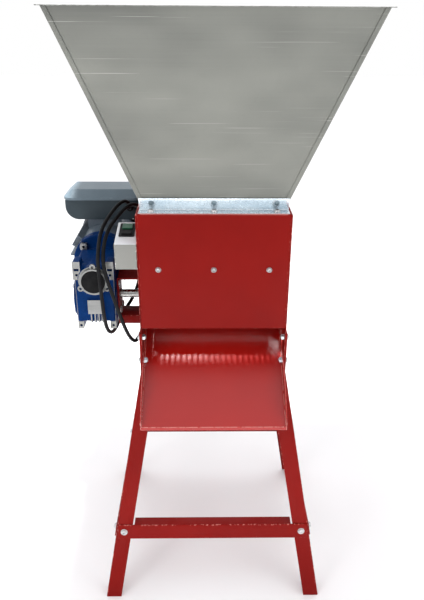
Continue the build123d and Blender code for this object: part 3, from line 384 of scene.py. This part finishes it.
def roundedCopy(node, bend, cut):
    shape = mergedCopy(node)
    bmesh.ops.dissolve_limit(shape, angle_limit=shaping["flat"], verts=shape.verts, edges=shape.edges)
    edgeLayer = shape.faces.layers.float.new("edge")

    def bevelled(edges, width, steps):
        if not edges or width <= 0:
            return
        made = bmesh.ops.bevel(shape, geom=edges, offset=width, offset_type="OFFSET", segments=steps,
                               profile=0.5, affect="EDGES", clamp_overlap=False, material=-1)
        for face in made["faces"]:
            face[edgeLayer] = 1.0

    def narrowest(edge):
        return min(face.calc_area() / edge.calc_length() for face in edge.link_faces)

    folds = [edge for edge in shape.edges if isLong(edge) and narrowest(edge) > shaping["narrow"]]
    bevelled(folds, bend, 3)
    cuts = [edge for edge in shape.edges
            if isLong(edge) and not any(face[edgeLayer] for face in edge.link_faces)]
    bevelled(cuts, cut, 2)
    shadeByAngle(shape, 30)
    mesh = bpy.data.meshes.new(node + "Rounded")
    shape.to_mesh(mesh)
    shape.free()
    return mesh


# folded sheet and angle parts: folds get a bend radius, cut edges a small break
sheetParts = {"front_panel": (1.6, 0.35), "rear_panel": (1.6, 0.35), "side_plate_left": (2.2, 0.5),
              "side_plate_right": (2.2, 0.5), "chute": (1.4, 0.4), "gearbox_bracket": (0, 0.6),
              "control_box": (1.6, 0.35), "deflector": (0, 0.4), "angle_front": (1.2, 0.4),
              "angle_rear": (1.2, 0.4), "fixed_comb": (1.0, 0.4), "leg_front_left": (2.4, 0.6),
              "leg_front_right": (2.4, 0.6), "leg_rear_left": (2.4, 0.6), "leg_rear_right": (2.4, 0.6),
              "brace_front": (2.2, 0.6), "brace_rear": (2.2, 0.6), "brace_left": (2.2, 0.6),
              "brace_right": (2.2, 0.6), "terminal_box": (2.0, 0.8), "terminal_lid": (1.6, 0.8),
              "bearing_flanges": (1.5, 0.6), "interlock_switch": (1.0, 0.5)}
hopperPanels = {"hopper_front": (0, 0.3), "hopper_rear": (0, 0.3), "hopper_left": (0, 0.3),
                "hopper_right": (0, 0.3)}
for name, (bend, cut) in {**sheetParts, **hopperPanels}.items():
    mesh = roundedCopy(name, bend * mm, cut * mm)
    words = name.split("_")
    stem = words[0] + "".join(word.title() for word in words[1:])
    putIn(stem + "Shaped", mesh, nodeSlots[name], stands=(name,))
print("sheet parts shaped")

# finishes that differ on one piece only: a glossier chute with painted light in its lighter red, a deflector
# darkened as painted shade, a lid lightened as painted light
# the chute's red is a lighter copy of the red paint: painted light on the upward-facing tray; its coat is
# glossier as well
trayPaint = dict(redPaint, colour=(0.4, 0.006, 0.003), second=(0.35, 0.005, 0.003), peelDepth=0.000004,
                 peelScale=120, coat=0.9, coatRoughness=0.17, wear=0.9, dust=0.0)
bpy.data.objects["chuteShaped"].data.materials[0] = paintFinish("trayPaint", trayPaint)
# the deflector's near-black red is a darkened copy of the red paint: painted shade
stainedPaint = dict(redPaint, colour=(0.07, 0.0025, 0.0025), second=(0.05, 0.002, 0.002), coat=0.0)
bpy.data.objects["deflectorShaped"].data.materials[0] = paintFinish("stainedPaint", stainedPaint)
# the lid is a lighter copy of the box plastic: painted light on its upward face
lidPlastic = dict(boxPlastic, colour=(0.15, 0.2, 0.235), second=(0.12, 0.165, 0.2))
bpy.data.objects["terminalLidShaped"].data.materials[0] = mouldedFinish("lidPlastic", lidPlastic)
# the control box's sloping top gets a paler copy of the grey sheet: painted light on its upward-facing faces
topSheet = dict(greySheet, colour=(0.78, 0.8, 0.82), second=(0.7, 0.72, 0.74), speck=(0.9, 0.9, 0.9))
controlMesh = bpy.data.objects["controlBoxShaped"].data
topFacing = 0.5
controlMesh.materials.append(paintFinish("topSheet", topSheet))
for polygon in controlMesh.polygons:
    if polygon.normal.z > topFacing:
        polygon.material_index = len(controlMesh.materials) - 1


# fasteners: places and sizes come from the CAD solids, shapes from three geometry node trees
sorting = {"longestNut": 0.0085, "offAxis": 0.002, "sameWay": 0.99, "shank": 0.004}


def islandsOf(node):
    shape = mergedCopy(node)
    todo = set(shape.verts)
    while todo:
        seed = todo.pop()
        group, edge = {seed}, [seed]
        while edge:
            for link in edge.pop().link_edges:
                for vert in link.verts:
                    if vert not in group:
                        group.add(vert)
                        edge.append(vert)
        todo -= group
        faces = {face for vert in group for face in vert.link_faces}
        sides = [(face.normal.copy(), face.calc_center_median(), face.calc_area()) for face in faces]
        yield [vert.co.copy() for vert in group], sides
    shape.free()


def measureIsland(points, faces):
    flats = {}
    for normal, middle, area in faces:
        key = tuple(round(v, 2) + 0.0 for v in normal) + (round(normal.dot(middle), 4),)
        total, moment = flats.get(key, (0, Vector((0, 0, 0))))
        flats[key] = (total + area, moment + middle * area)
    key, (area, moment) = max(flats.items(), key=lambda item: item[1][0])
    facing = -Vector(key[:3]).normalized()
    seat = moment / area
    along = [(point - seat).dot(facing) for point in points]
    away = [((point - seat) - facing * (point - seat).dot(facing)).length for point in points]
    return {"place": seat, "facing": facing, "above": max(along), "below": -min(along), "radius": max(away)}


def fastenersOf(node):
    found = [measureIsland(*island) for island in islandsOf(node)]
    screws = [one for one in found if one["above"] + one["below"] > sorting["longestNut"]]
    nuts = [one for one in found if one["above"] + one["below"] <= sorting["longestNut"]]
    for one in nuts:
        middle = one["place"] + one["facing"] * (one["above"] - one["below"]) / 2
        mates = [s for s in screws if abs(s["facing"].dot(one["facing"])) > sorting["sameWay"]
                 and ((middle - s["place"]).cross(s["facing"])).length < sorting["offAxis"]]
        if mates:
            one["facing"] = -min(mates, key=lambda s: (middle - s["place"]).length)["facing"]
        one["thick"] = one["above"] + one["below"]
        one["place"] = middle - one["facing"] * one["thick"] / 2
    return screws, nuts


def newTree(name, inputs):
    tree = bpy.data.node_groups.new(name, "GeometryNodeTree")
    tree.interface.new_socket("Geometry", in_out="INPUT", socket_type="NodeSocketGeometry")
    for label, kind, value in inputs:
        socket = tree.interface.new_socket(label, in_out="INPUT", socket_type="NodeSocket" + kind)
        socket.default_value = value
    tree.interface.new_socket("Finish", in_out="INPUT", socket_type="NodeSocketMaterial")
    tree.interface.new_socket("Geometry", in_out="OUTPUT", socket_type="NodeSocketGeometry")
    given = addNode(tree, "NodeGroupInput").outputs
    return tree, given


def endTree(tree, given, geometry):
    real = addNode(tree, "GeometryNodeRealizeInstances", {0: geometry}).outputs[0]
    sockets = {"Geometry": real, "Material": given["Finish"]}
    dressed = addNode(tree, "GeometryNodeSetMaterial", sockets).outputs[0]
    addNode(tree, "NodeGroupOutput", {0: dressed})
    return tree


def vectorOf(tree, x=0.0, y=0.0, z=0.0):
    return addNode(tree, "ShaderNodeCombineXYZ", {0: x, 1: y, 2: z}).outputs[0]


def named(tree, label, kind="FLOAT_VECTOR"):
    made = addNode(tree, "GeometryNodeInputNamedAttribute", {"Name": label}, {"data_type": kind})
    return made.outputs["Attribute"]


def moved(tree, geometry, shift):
    return addNode(tree, "GeometryNodeTransform", {"Geometry": geometry, "Translation": shift}).outputs[0]


def roundBar(tree, sides, rows, radius=1.0, depth=1.0):
    sockets = {"Vertices": sides, "Side Segments": rows, "Radius": radius, "Depth": depth}
    made = addNode(tree, "GeometryNodeMeshCylinder", sockets, {"fill_type": "NGON"})
    return made.outputs["Mesh"]


def placeOn(tree, given, shape, sizeLabel):
    facing = {"Vector": named(tree, "facing")}
    turn = addNode(tree, "FunctionNodeAlignRotationToVector", facing, {"axis": "Z"}).outputs[0]
    sockets = {"Points": given["Geometry"], "Instance": shape, "Rotation": turn, "Scale": named(tree, sizeLabel)}
    return addNode(tree, "GeometryNodeInstanceOnPoints", sockets).outputs[0]


def screwTree(name, socketed):
    inputs = [("Dome Fullness", "Float", 0.8), ("Washer Overhang", "Float", 0.16),
              ("Washer Thickness", "Float", 0.2), ("Socket Size", "Float", 0.4)]
    tree, given = newTree(name, inputs)
    dome = moved(tree, roundBar(tree, 28, 7), (0, 0, 0.5))
    position = addNode(tree, "GeometryNodeInputPosition").outputs[0]
    spot = addNode(tree, "ShaderNodeSeparateXYZ", {0: position}).outputs
    bulge = times(tree, times(tree, spot[2], given["Dome Fullness"]), 2.0, "POWER")
    shrink = times(tree, times(tree, 1.0, bulge, "SUBTRACT"), 0.5, "POWER")
    rounded = vectorOf(tree, times(tree, spot[0], shrink), times(tree, spot[1], shrink), spot[2])
    dome = addNode(tree, "GeometryNodeSetPosition", {"Geometry": dome, "Position": rounded}).outputs[0]
    if socketed:
        hexagon = moved(tree, roundBar(tree, 6, 1, given["Socket Size"], 1.0), (0, 0, 0.95))
        sockets = {"Mesh 1": dome, "Mesh 2": hexagon}
        dome = addNode(tree, "GeometryNodeMeshBoolean", sockets, {"operation": "DIFFERENCE"}).outputs[0]
    washerRadius = times(tree, given["Washer Overhang"], 1.0, "ADD")
    washer = roundBar(tree, 28, 1, washerRadius, given["Washer Thickness"])
    washer = moved(tree, washer, vectorOf(tree, 0.0, 0.0, times(tree, given["Washer Thickness"], 0.5)))
    head = addNode(tree, "GeometryNodeJoinGeometry", {0: washer})
    tree.links.new(dome, head.inputs[0])
    shank = moved(tree, roundBar(tree, 12, 1), (0, 0, -0.5))
    both = addNode(tree, "GeometryNodeJoinGeometry", {0: placeOn(tree, given, head.outputs[0], "headSize")})
    tree.links.new(placeOn(tree, given, shank, "shankSize"), both.inputs[0])
    return endTree(tree, given, both.outputs[0])


def nutTree():
    inputs = [("Thread Reach", "Float", 1.3), ("Thread Share", "Float", 0.52),
              ("Corner Share", "Float", 0.12)]
    tree, given = newTree("hexNuts", inputs)
    body = moved(tree, roundBar(tree, 6, 1), (0, 0, 0.5))
    inscribed = times(tree, 1.0, given["Corner Share"], "SUBTRACT")
    chamfer = moved(tree, roundBar(tree, 24, 1, inscribed, 1.06), (0, 0, 0.5))
    thread = roundBar(tree, 12, 1, given["Thread Share"], given["Thread Reach"])
    thread = moved(tree, thread, vectorOf(tree, 0.0, 0.0, times(tree, given["Thread Reach"], 0.5)))
    whole = addNode(tree, "GeometryNodeJoinGeometry", {0: body})
    tree.links.new(thread, whole.inputs[0])
    tree.links.new(chamfer, whole.inputs[0])
    return endTree(tree, given, placeOn(tree, given, whole.outputs[0], "headSize"))


def growMesh(name, tree, values, points, fields, slotName):
    start = bpy.data.meshes.new(name + "Points")
    start.from_pydata([tuple(point) for point in points], [], [])
    for label, vectors in fields.items():
        layer = start.attributes.new(label, "FLOAT_VECTOR", "POINT")
        for index, vector in enumerate(vectors):
            layer.data[index].vector = vector
    seed = bpy.data.objects.new(name + "Seed", start)
    bpy.context.scene.collection.objects.link(seed)
    grower = seed.modifiers.new("grower", "NODES")
    grower.node_group = tree
    for item in tree.interface.items_tree:
        if item.in_out == "INPUT" and item.name == "Finish":
            grower[item.identifier] = finishes[slotName]
        elif item.in_out == "INPUT" and item.name in values:
            grower[item.identifier] = values[item.name]
    depsgraph = bpy.context.evaluated_depsgraph_get()
    mesh = bpy.data.meshes.new_from_object(seed.evaluated_get(depsgraph), preserve_all_data_layers=False,
                                           depsgraph=depsgraph)
    bpy.data.objects.remove(seed)
    shape = bmesh.new()
    shape.from_mesh(mesh)
    shadeByAngle(shape, 34)
    shape.to_mesh(mesh)
    shape.free()
    mesh.name = name
    return mesh


fasteners = {
    "stand_bolts": {"Head Share": 0.85, "Dome Fullness": 0.8, "Socket Size": 0.42, "socketed": True},
    "panel_screws": {"Head Share": 0.78, "Dome Fullness": 0.78, "Socket Size": 0.45,
                     "Washer Overhang": 0.05, "socketed": True},
    "drive_bolts": {"Head Share": 0.95, "Dome Fullness": 0.7, "Socket Size": 0.45,
                    "Washer Overhang": 0.05, "socketed": True},
    "angle_bolts": {"Head Share": 0.9, "Dome Fullness": 0.75, "Socket Size": 0.45,
                    "Washer Overhang": 0.0, "socketed": True},
    "hopper_rivets": {"Head Share": 1.0, "Dome Fullness": 0.86, "Washer Overhang": 0.0, "socketed": False},
}
rivetSteel = dict(zincPlate, colour=(0.2, 0.28, 0.33), second=(0.14, 0.2, 0.24), roughness=(0.3, 0.45))
boltSteel = dict(zincPlate, colour=(0.6, 0.6, 0.61), second=(0.42, 0.42, 0.43), roughness=(0.25, 0.4))
rivetFinish, boltFinish = sheetFinish("rivetSteel", rivetSteel), sheetFinish("boltSteel", boltSteel)
trees = {True: screwTree("socketScrews", True), False: screwTree("domedRivets", False)}
nutGrower = nutTree()
for node, look in fasteners.items():
    screws, nuts = fastenersOf(node)
    stem = node.split("_")[0] + node.split("_")[1].title()
    fields = {"facing": [one["facing"] for one in screws],
              "headSize": [(*[one["radius"] * look["Head Share"]] * 2, one["above"]) for one in screws],
              "shankSize": [(sorting["shank"], sorting["shank"], one["below"]) for one in screws]}
    places = [one["place"] for one in screws]
    mesh = growMesh(stem + "Heads", trees[look["socketed"]], look, places, fields, nodeSlots[node])
    for index in range(len(mesh.materials)):
        mesh.materials[index] = rivetFinish if node == "hopper_rivets" else boltFinish
    putIn(stem + "Heads", mesh, nodeSlots[node], stands=(node,))
    if nuts:
        fields = {"facing": [one["facing"] for one in nuts],
                  "headSize": [(one["radius"], one["radius"], one["thick"]) for one in nuts]}
        places = [one["place"] for one in nuts]
        mesh = growMesh(stem + "Nuts", nutGrower, {}, places, fields, nodeSlots[node])
        putIn(stem + "Nuts", mesh, nodeSlots[node])
    print(node, len(screws), "screws", len(nuts), "nuts")


# a folded hem along the top of the front panel, and lock seams down the hopper's corners
hem = {"radius": 0.0024, "sunk": 0.6, "inset": 0.006, "steps": 8}
seam = {"width": 0.011, "thick": 0.0011, "inset": 0.0012, "lip": 0.010, "below": 0.0015, "round": 0.0005,
        "mouthBand": 0.001}


def tubeMesh(name, start, end, radius, steps):
    shape = bmesh.new()
    ways = (end - start).normalized()
    turn = Vector((0, 0, 1)).rotation_difference(ways).to_matrix().to_4x4()
    rings = bmesh.ops.create_cone(shape, cap_ends=True, segments=2 * steps, radius1=radius, radius2=radius,
                                  depth=(end - start).length)
    bmesh.ops.transform(shape, verts=rings["verts"], matrix=Matrix.Translation((start + end) / 2) @ turn)
    shadeByAngle(shape, 50)
    mesh = bpy.data.meshes.new(name)
    shape.to_mesh(mesh)
    shape.free()
    return mesh


low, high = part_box("front_panel")
hemAt = (low.y + hem["radius"], high.z - hem["radius"] * hem["sunk"])
start, end = (Vector((x, hemAt[0], hemAt[1])) for x in (low.x + hem["inset"], high.x - hem["inset"]))
putIn("frontPanelHem", tubeMesh("frontPanelHem", start, end, hem["radius"], hem["steps"]), "red_paint")
# the hem's pale pink paint is a painted highlight, the bright line along the panel's top edge
hemPaint = dict(redPaint, colour=(0.55, 0.2, 0.18), second=(0.36, 0.06, 0.05), coat=0.6, gloss=0.5)
bpy.data.objects["frontPanelHem"].data.materials[0] = paintFinish("hemPaint", hemPaint)


def seamMesh(name, side, end):
    low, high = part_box("hopper_" + ("front" if end < 0 else "rear"))
    mouthX, rimX = seamEnds["mouth"], seamEnds["rim"]
    yLow, yHigh = seamEnds["yLow"] * end, seamEnds["yHigh"] * end
    bottom, top = Vector((side * mouthX, yLow, low.z)), Vector((side * rimX, yHigh, high.z - seam["below"]))
    outward = Vector((0, end, -(abs(yHigh) - abs(yLow)) / (top.z - bottom.z))).normalized()
    inward = Vector((-side, 0, 0))
    shape = bmesh.new()
    corners = []
    for spot in (bottom, top):
        for across, lift in (("inset", 0), ("inset", 1), ("width", 1), ("width", 0)):
            corners.append(shape.verts.new(spot + inward * seam[across] + outward * (seam["thick"] * lift)))
    for ring in ((0, 1, 2, 3), (7, 6, 5, 4)):
        shape.faces.new([corners[i] for i in ring])
    for i in range(4):
        j = (i + 1) % 4
        shape.faces.new([corners[i], corners[i + 4], corners[j + 4], corners[j]])
    bmesh.ops.recalc_face_normals(shape, faces=shape.faces)
    lengthwise = [edge for edge in shape.edges if edge.calc_length() > 2 * seam["width"]]
    bmesh.ops.bevel(shape, geom=lengthwise, offset=seam["round"], segments=2, profile=0.5, affect="EDGES")
    shadeByAngle(shape, 40)
    mesh = bpy.data.meshes.new(name)
    shape.to_mesh(mesh)
    shape.free()
    return mesh


frontPoints = [vert.co for vert in nodes["hopper_front"].data.vertices]
lowest = min(point.z for point in frontPoints)
atMouth = [point for point in frontPoints if point.z < lowest + seam["mouthBand"]]
seamEnds = {"mouth": max(point.x for point in atMouth), "yLow": max(abs(point.y) for point in atMouth),
            "rim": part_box("hopper_right")[1].x - seam["lip"],
            "yHigh": abs(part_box("hopper_front")[0].y) - seam["lip"]}
for end, word in ((-1, "Front"), (1, "Rear")):
    for side, hand in ((-1, "Left"), (1, "Right")):
        name = "hopperSeam" + word + hand
        putIn(name, seamMesh(name, side, end), "galvanised_sheet")
print("hem and seams made")

# gearbox: the cast body is softened, its machined faces are laid on as bright plates
casting = {"voxel": 0.0019, "smoothing": 4, "plate": 0.0005, "largest": 0.0022, "smallest": 0.00002,
           "frontLimit": -0.110, "forwardFacing": 0.99}


def castCopy(node, look):
    shape = mergedCopy(node)
    mesh = bpy.data.meshes.new(node + "Cast")
    shape.to_mesh(mesh)
    shape.free()
    seed = bpy.data.objects.new(node + "Seed", mesh)
    bpy.context.scene.collection.objects.link(seed)
    remesh = seed.modifiers.new("remesh", "REMESH")
    remesh.mode = "VOXEL"
    remesh.voxel_size = look["voxel"]
    smooth = seed.modifiers.new("smooth", "SMOOTH")
    smooth.factor = 0.5
    smooth.iterations = look["smoothing"]
    depsgraph = bpy.context.evaluated_depsgraph_get()
    cast = bpy.data.meshes.new_from_object(seed.evaluated_get(depsgraph), depsgraph=depsgraph)
    bpy.data.objects.remove(seed)
    cast.shade_smooth()
    return cast


def machinedPlates(node, look):
    shape = mergedCopy(node)
    bmesh.ops.dissolve_limit(shape, angle_limit=shaping["flat"], verts=shape.verts, edges=shape.edges)
    front = {face for face in shape.faces
             if face.normal.y < -look["forwardFacing"] and face.calc_center_median().y < look["frontLimit"]
             and look["smallest"] < face.calc_area() < look["largest"]}
    unwanted = [face for face in shape.faces if face not in front]
    bmesh.ops.delete(shape, geom=unwanted, context="FACES")
    raised = bmesh.ops.extrude_face_region(shape, geom=list(shape.faces), use_keep_orig=True)
    lifted = [item for item in raised["geom"] if isinstance(item, bmesh.types.BMVert)]
    bmesh.ops.translate(shape, verts=lifted, vec=(0, -look["plate"], 0))
    bmesh.ops.recalc_face_normals(shape, faces=shape.faces)
    mesh = bpy.data.meshes.new(node + "Machined")
    shape.to_mesh(mesh)
    shape.free()
    return mesh


putIn("gearboxCasting", castCopy("gearbox_case", casting), "blue_paint", stands=("gearbox_case",))
putIn("gearboxMachinedFaces", machinedPlates("gearbox_case", casting), "bare_aluminium")

# square lugs for the motor bolts, standing forward of the casting's round flange
lug = {"half": 0.0085, "squareness": 6, "hole": 0.0036, "reach": 0.041, "forward": 0.009,
       "behind": 0.006, "back": 0.012, "steps": 24}


def lugMesh(name, centre, look):
    power = look["squareness"]
    shape = bmesh.new()
    rings = []
    for y, hollow in ((centre.y - look["forward"], False), (centre.y - look["forward"], True),
                      (centre.y + look["behind"], True), (centre.y + look["behind"], False)):
        ring = []
        for step in range(look["steps"]):
            turn = 2 * math.pi * step / look["steps"]
            across, up = math.cos(turn), math.sin(turn)
            outer = look["half"] / (abs(across) ** power + abs(up) ** power) ** (1 / power)
            share = look["hole"] if hollow else outer
            ring.append(shape.verts.new((centre.x + across * share, y, centre.z + up * share)))
        rings.append(ring)
    for first, second in zip(rings, rings[1:] + rings[:1]):
        for step in range(look["steps"]):
            after = (step + 1) % look["steps"]
            shape.faces.new([first[step], first[after], second[after], second[step]])
    bmesh.ops.recalc_face_normals(shape, faces=shape.faces)
    shadeByAngle(shape, 35)
    mesh = bpy.data.meshes.new(name)
    shape.to_mesh(mesh)
    shape.free()
    return mesh


capLow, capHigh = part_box("worm_cap_plug")
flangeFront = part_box("motor_flange")[0].y - lug["back"]
for side, hand in ((-1, "Left"), (1, "Right")):
    middle = (capLow + capHigh) / 2
    centre = Vector((middle.x + side * lug["reach"], flangeFront, middle.z + lug["reach"]))
    putIn("motorLug" + hand, lugMesh("motorLug" + hand, centre, lug), "bare_aluminium")
print("motor lugs made")

# floor, backdrop and light
studio = {"floor": (0.9, 0.9, 0.9), "sky": (1.0, 1.0, 1.0), "front": (0.13, 0.13, 0.13),
          "back": (0.8, 0.8, 0.82), "top": (1.38, 1.38, 1.41), "skyStrength": 1.0}
floorMesh = bpy.data.meshes.new("studioFloor")
floorMesh.from_pydata([(-14, -14, 0), (14, -14, 0), (14, 14, 0), (-14, 14, 0)], [], [(0, 1, 2, 3)])
floor = bpy.data.objects.new("studioFloor", floorMesh)
bpy.context.scene.collection.objects.link(floor)
floorFinish, floorTree, floorShader, floorPlace = startFinish("paleFloor")
floorNoise = noiseOf(floorTree, floorPlace, 3)
floorColour = mixColour(floorTree, floorNoise, studio["floor"], tuple(0.985 * v for v in studio["floor"]))
floorTree.links.new(floorColour, floorShader.inputs["Base Color"])
floorShader.inputs["Roughness"].default_value = 0.75
floorMesh.materials.append(floorFinish)
world = bpy.data.worlds.new("studioWorld")
world.use_nodes = True
bpy.context.scene.world = world
sky = world.node_tree
outlook = addNode(sky, "ShaderNodeTexCoord").outputs["Generated"]
direction = addNode(sky, "ShaderNodeSeparateXYZ", {0: outlook})
height = spread(sky, direction.outputs[2], -0.1, 0.9)
behind = spread(sky, direction.outputs[1], -0.5, 0.6)
around = mixColour(sky, behind, studio["front"], studio["back"])
lit = mixColour(sky, height, around, studio["top"])
seen = addNode(sky, "ShaderNodeLightPath").outputs["Is Camera Ray"]
sky.links.new(mixColour(sky, seen, lit, studio["sky"]), sky.nodes["Background"].inputs["Color"])
sky.nodes["Background"].inputs["Strength"].default_value = studio["skyStrength"]
bpy.context.scene.view_settings.view_transform = "Standard"

# hopperLamp shines down through the comb's slots onto the chute
lamps = {
    "hopperLamp": {"place": (-0.2, -0.06, 2.9), "aim": (-0.05, -0.11, 0.66), "size": (0.14, 0.1),
                   "power": 120},
    "keySide": {"place": (-2.4, -2.8, 2.4), "aim": (0, 0, 0.8), "size": (1.2, 1.2), "power": 26},
    "fillSide": {"place": (2.8, -2.2, 1.8), "aim": (0, 0, 0.8), "size": (1.6, 1.6), "power": 16},
}
for name, lamp in lamps.items():
    light = bpy.data.lights.new(name, "AREA")
    light.shape = "RECTANGLE"
    light.size, light.size_y = lamp["size"]
    light.energy = lamp["power"]
    thing = bpy.data.objects.new(name, light)
    bpy.context.scene.collection.objects.link(thing)
    thing.location = lamp["place"]
    thing.rotation_euler = (Vector(lamp["aim"]) - Vector(lamp["place"])).to_track_quat("-Z", "Y").to_euler()
print("studio set")

# the two free cables, each one smooth line from gland to gland
cables = {"diameter": 9 * mm, "rings": 4}
motorRoute = [
    (-0.212, 0.094, 0.988), (-0.212, 0.062, 0.988), (-0.208, 0.040, 1.014), (-0.224, 0.014, 1.026),
    (-0.252, -0.038, 1.000), (-0.264, -0.084, 0.978), (-0.266, -0.120, 0.950), (-0.266, -0.141, 0.920),
    (-0.263, -0.147, 0.878), (-0.261, -0.147, 0.832), (-0.260, -0.143, 0.789), (-0.256, -0.134, 0.747),
    (-0.249, -0.108, 0.725), (-0.243, -0.062, 0.720), (-0.240, -0.028, 0.726), (-0.232, 0.006, 0.732),
    (-0.212, 0.040, 0.752), (-0.194, 0.058, 0.795), (-0.189, 0.062, 0.850), (-0.192, 0.048, 0.898),
    (-0.202, 0.020, 0.924), (-0.203, -0.008, 0.926), (-0.203, -0.050, 0.926),
]
interlockRoute = [
    (-0.190, 0.094, 0.988), (-0.190, 0.062, 0.988), (-0.189, 0.040, 1.008), (-0.206, 0.012, 1.018),
    (-0.238, -0.038, 0.992), (-0.252, -0.084, 0.971), (-0.255, -0.120, 0.946), (-0.254, -0.139, 0.920),
    (-0.248, -0.147, 0.888), (-0.237, -0.147, 0.850), (-0.227, -0.146, 0.812), (-0.218, -0.140, 0.774),
    (-0.209, -0.130, 0.738), (-0.201, -0.116, 0.712), (-0.192, -0.104, 0.700), (-0.186, -0.098, 0.708),
    (-0.181, -0.098, 0.714), (-0.176, -0.098, 0.714),
]


def layCable(name, route, node):
    line = bpy.data.curves.new(name, "CURVE")
    line.dimensions = "3D"
    spline = line.splines.new("NURBS")
    spline.points.add(len(route) - 1)
    for point, spot in zip(spline.points, route):
        point.co = (*spot, 1)
    spline.order_u = 3
    spline.use_endpoint_u = True
    spline.resolution_u = 8
    line.bevel_depth = cables["diameter"] / 2
    line.bevel_resolution = cables["rings"]
    line.materials.append(finishes["cable_rubber"])
    thing = bpy.data.objects.new(name, line)
    bpy.context.scene.collection.objects.link(thing)
    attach(thing, "frame")
    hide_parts(node)


layCable("motorCable", motorRoute, "motor_cable")
layCable("interlockCable", interlockRoute, "interlock_cable")
print("cables laid")
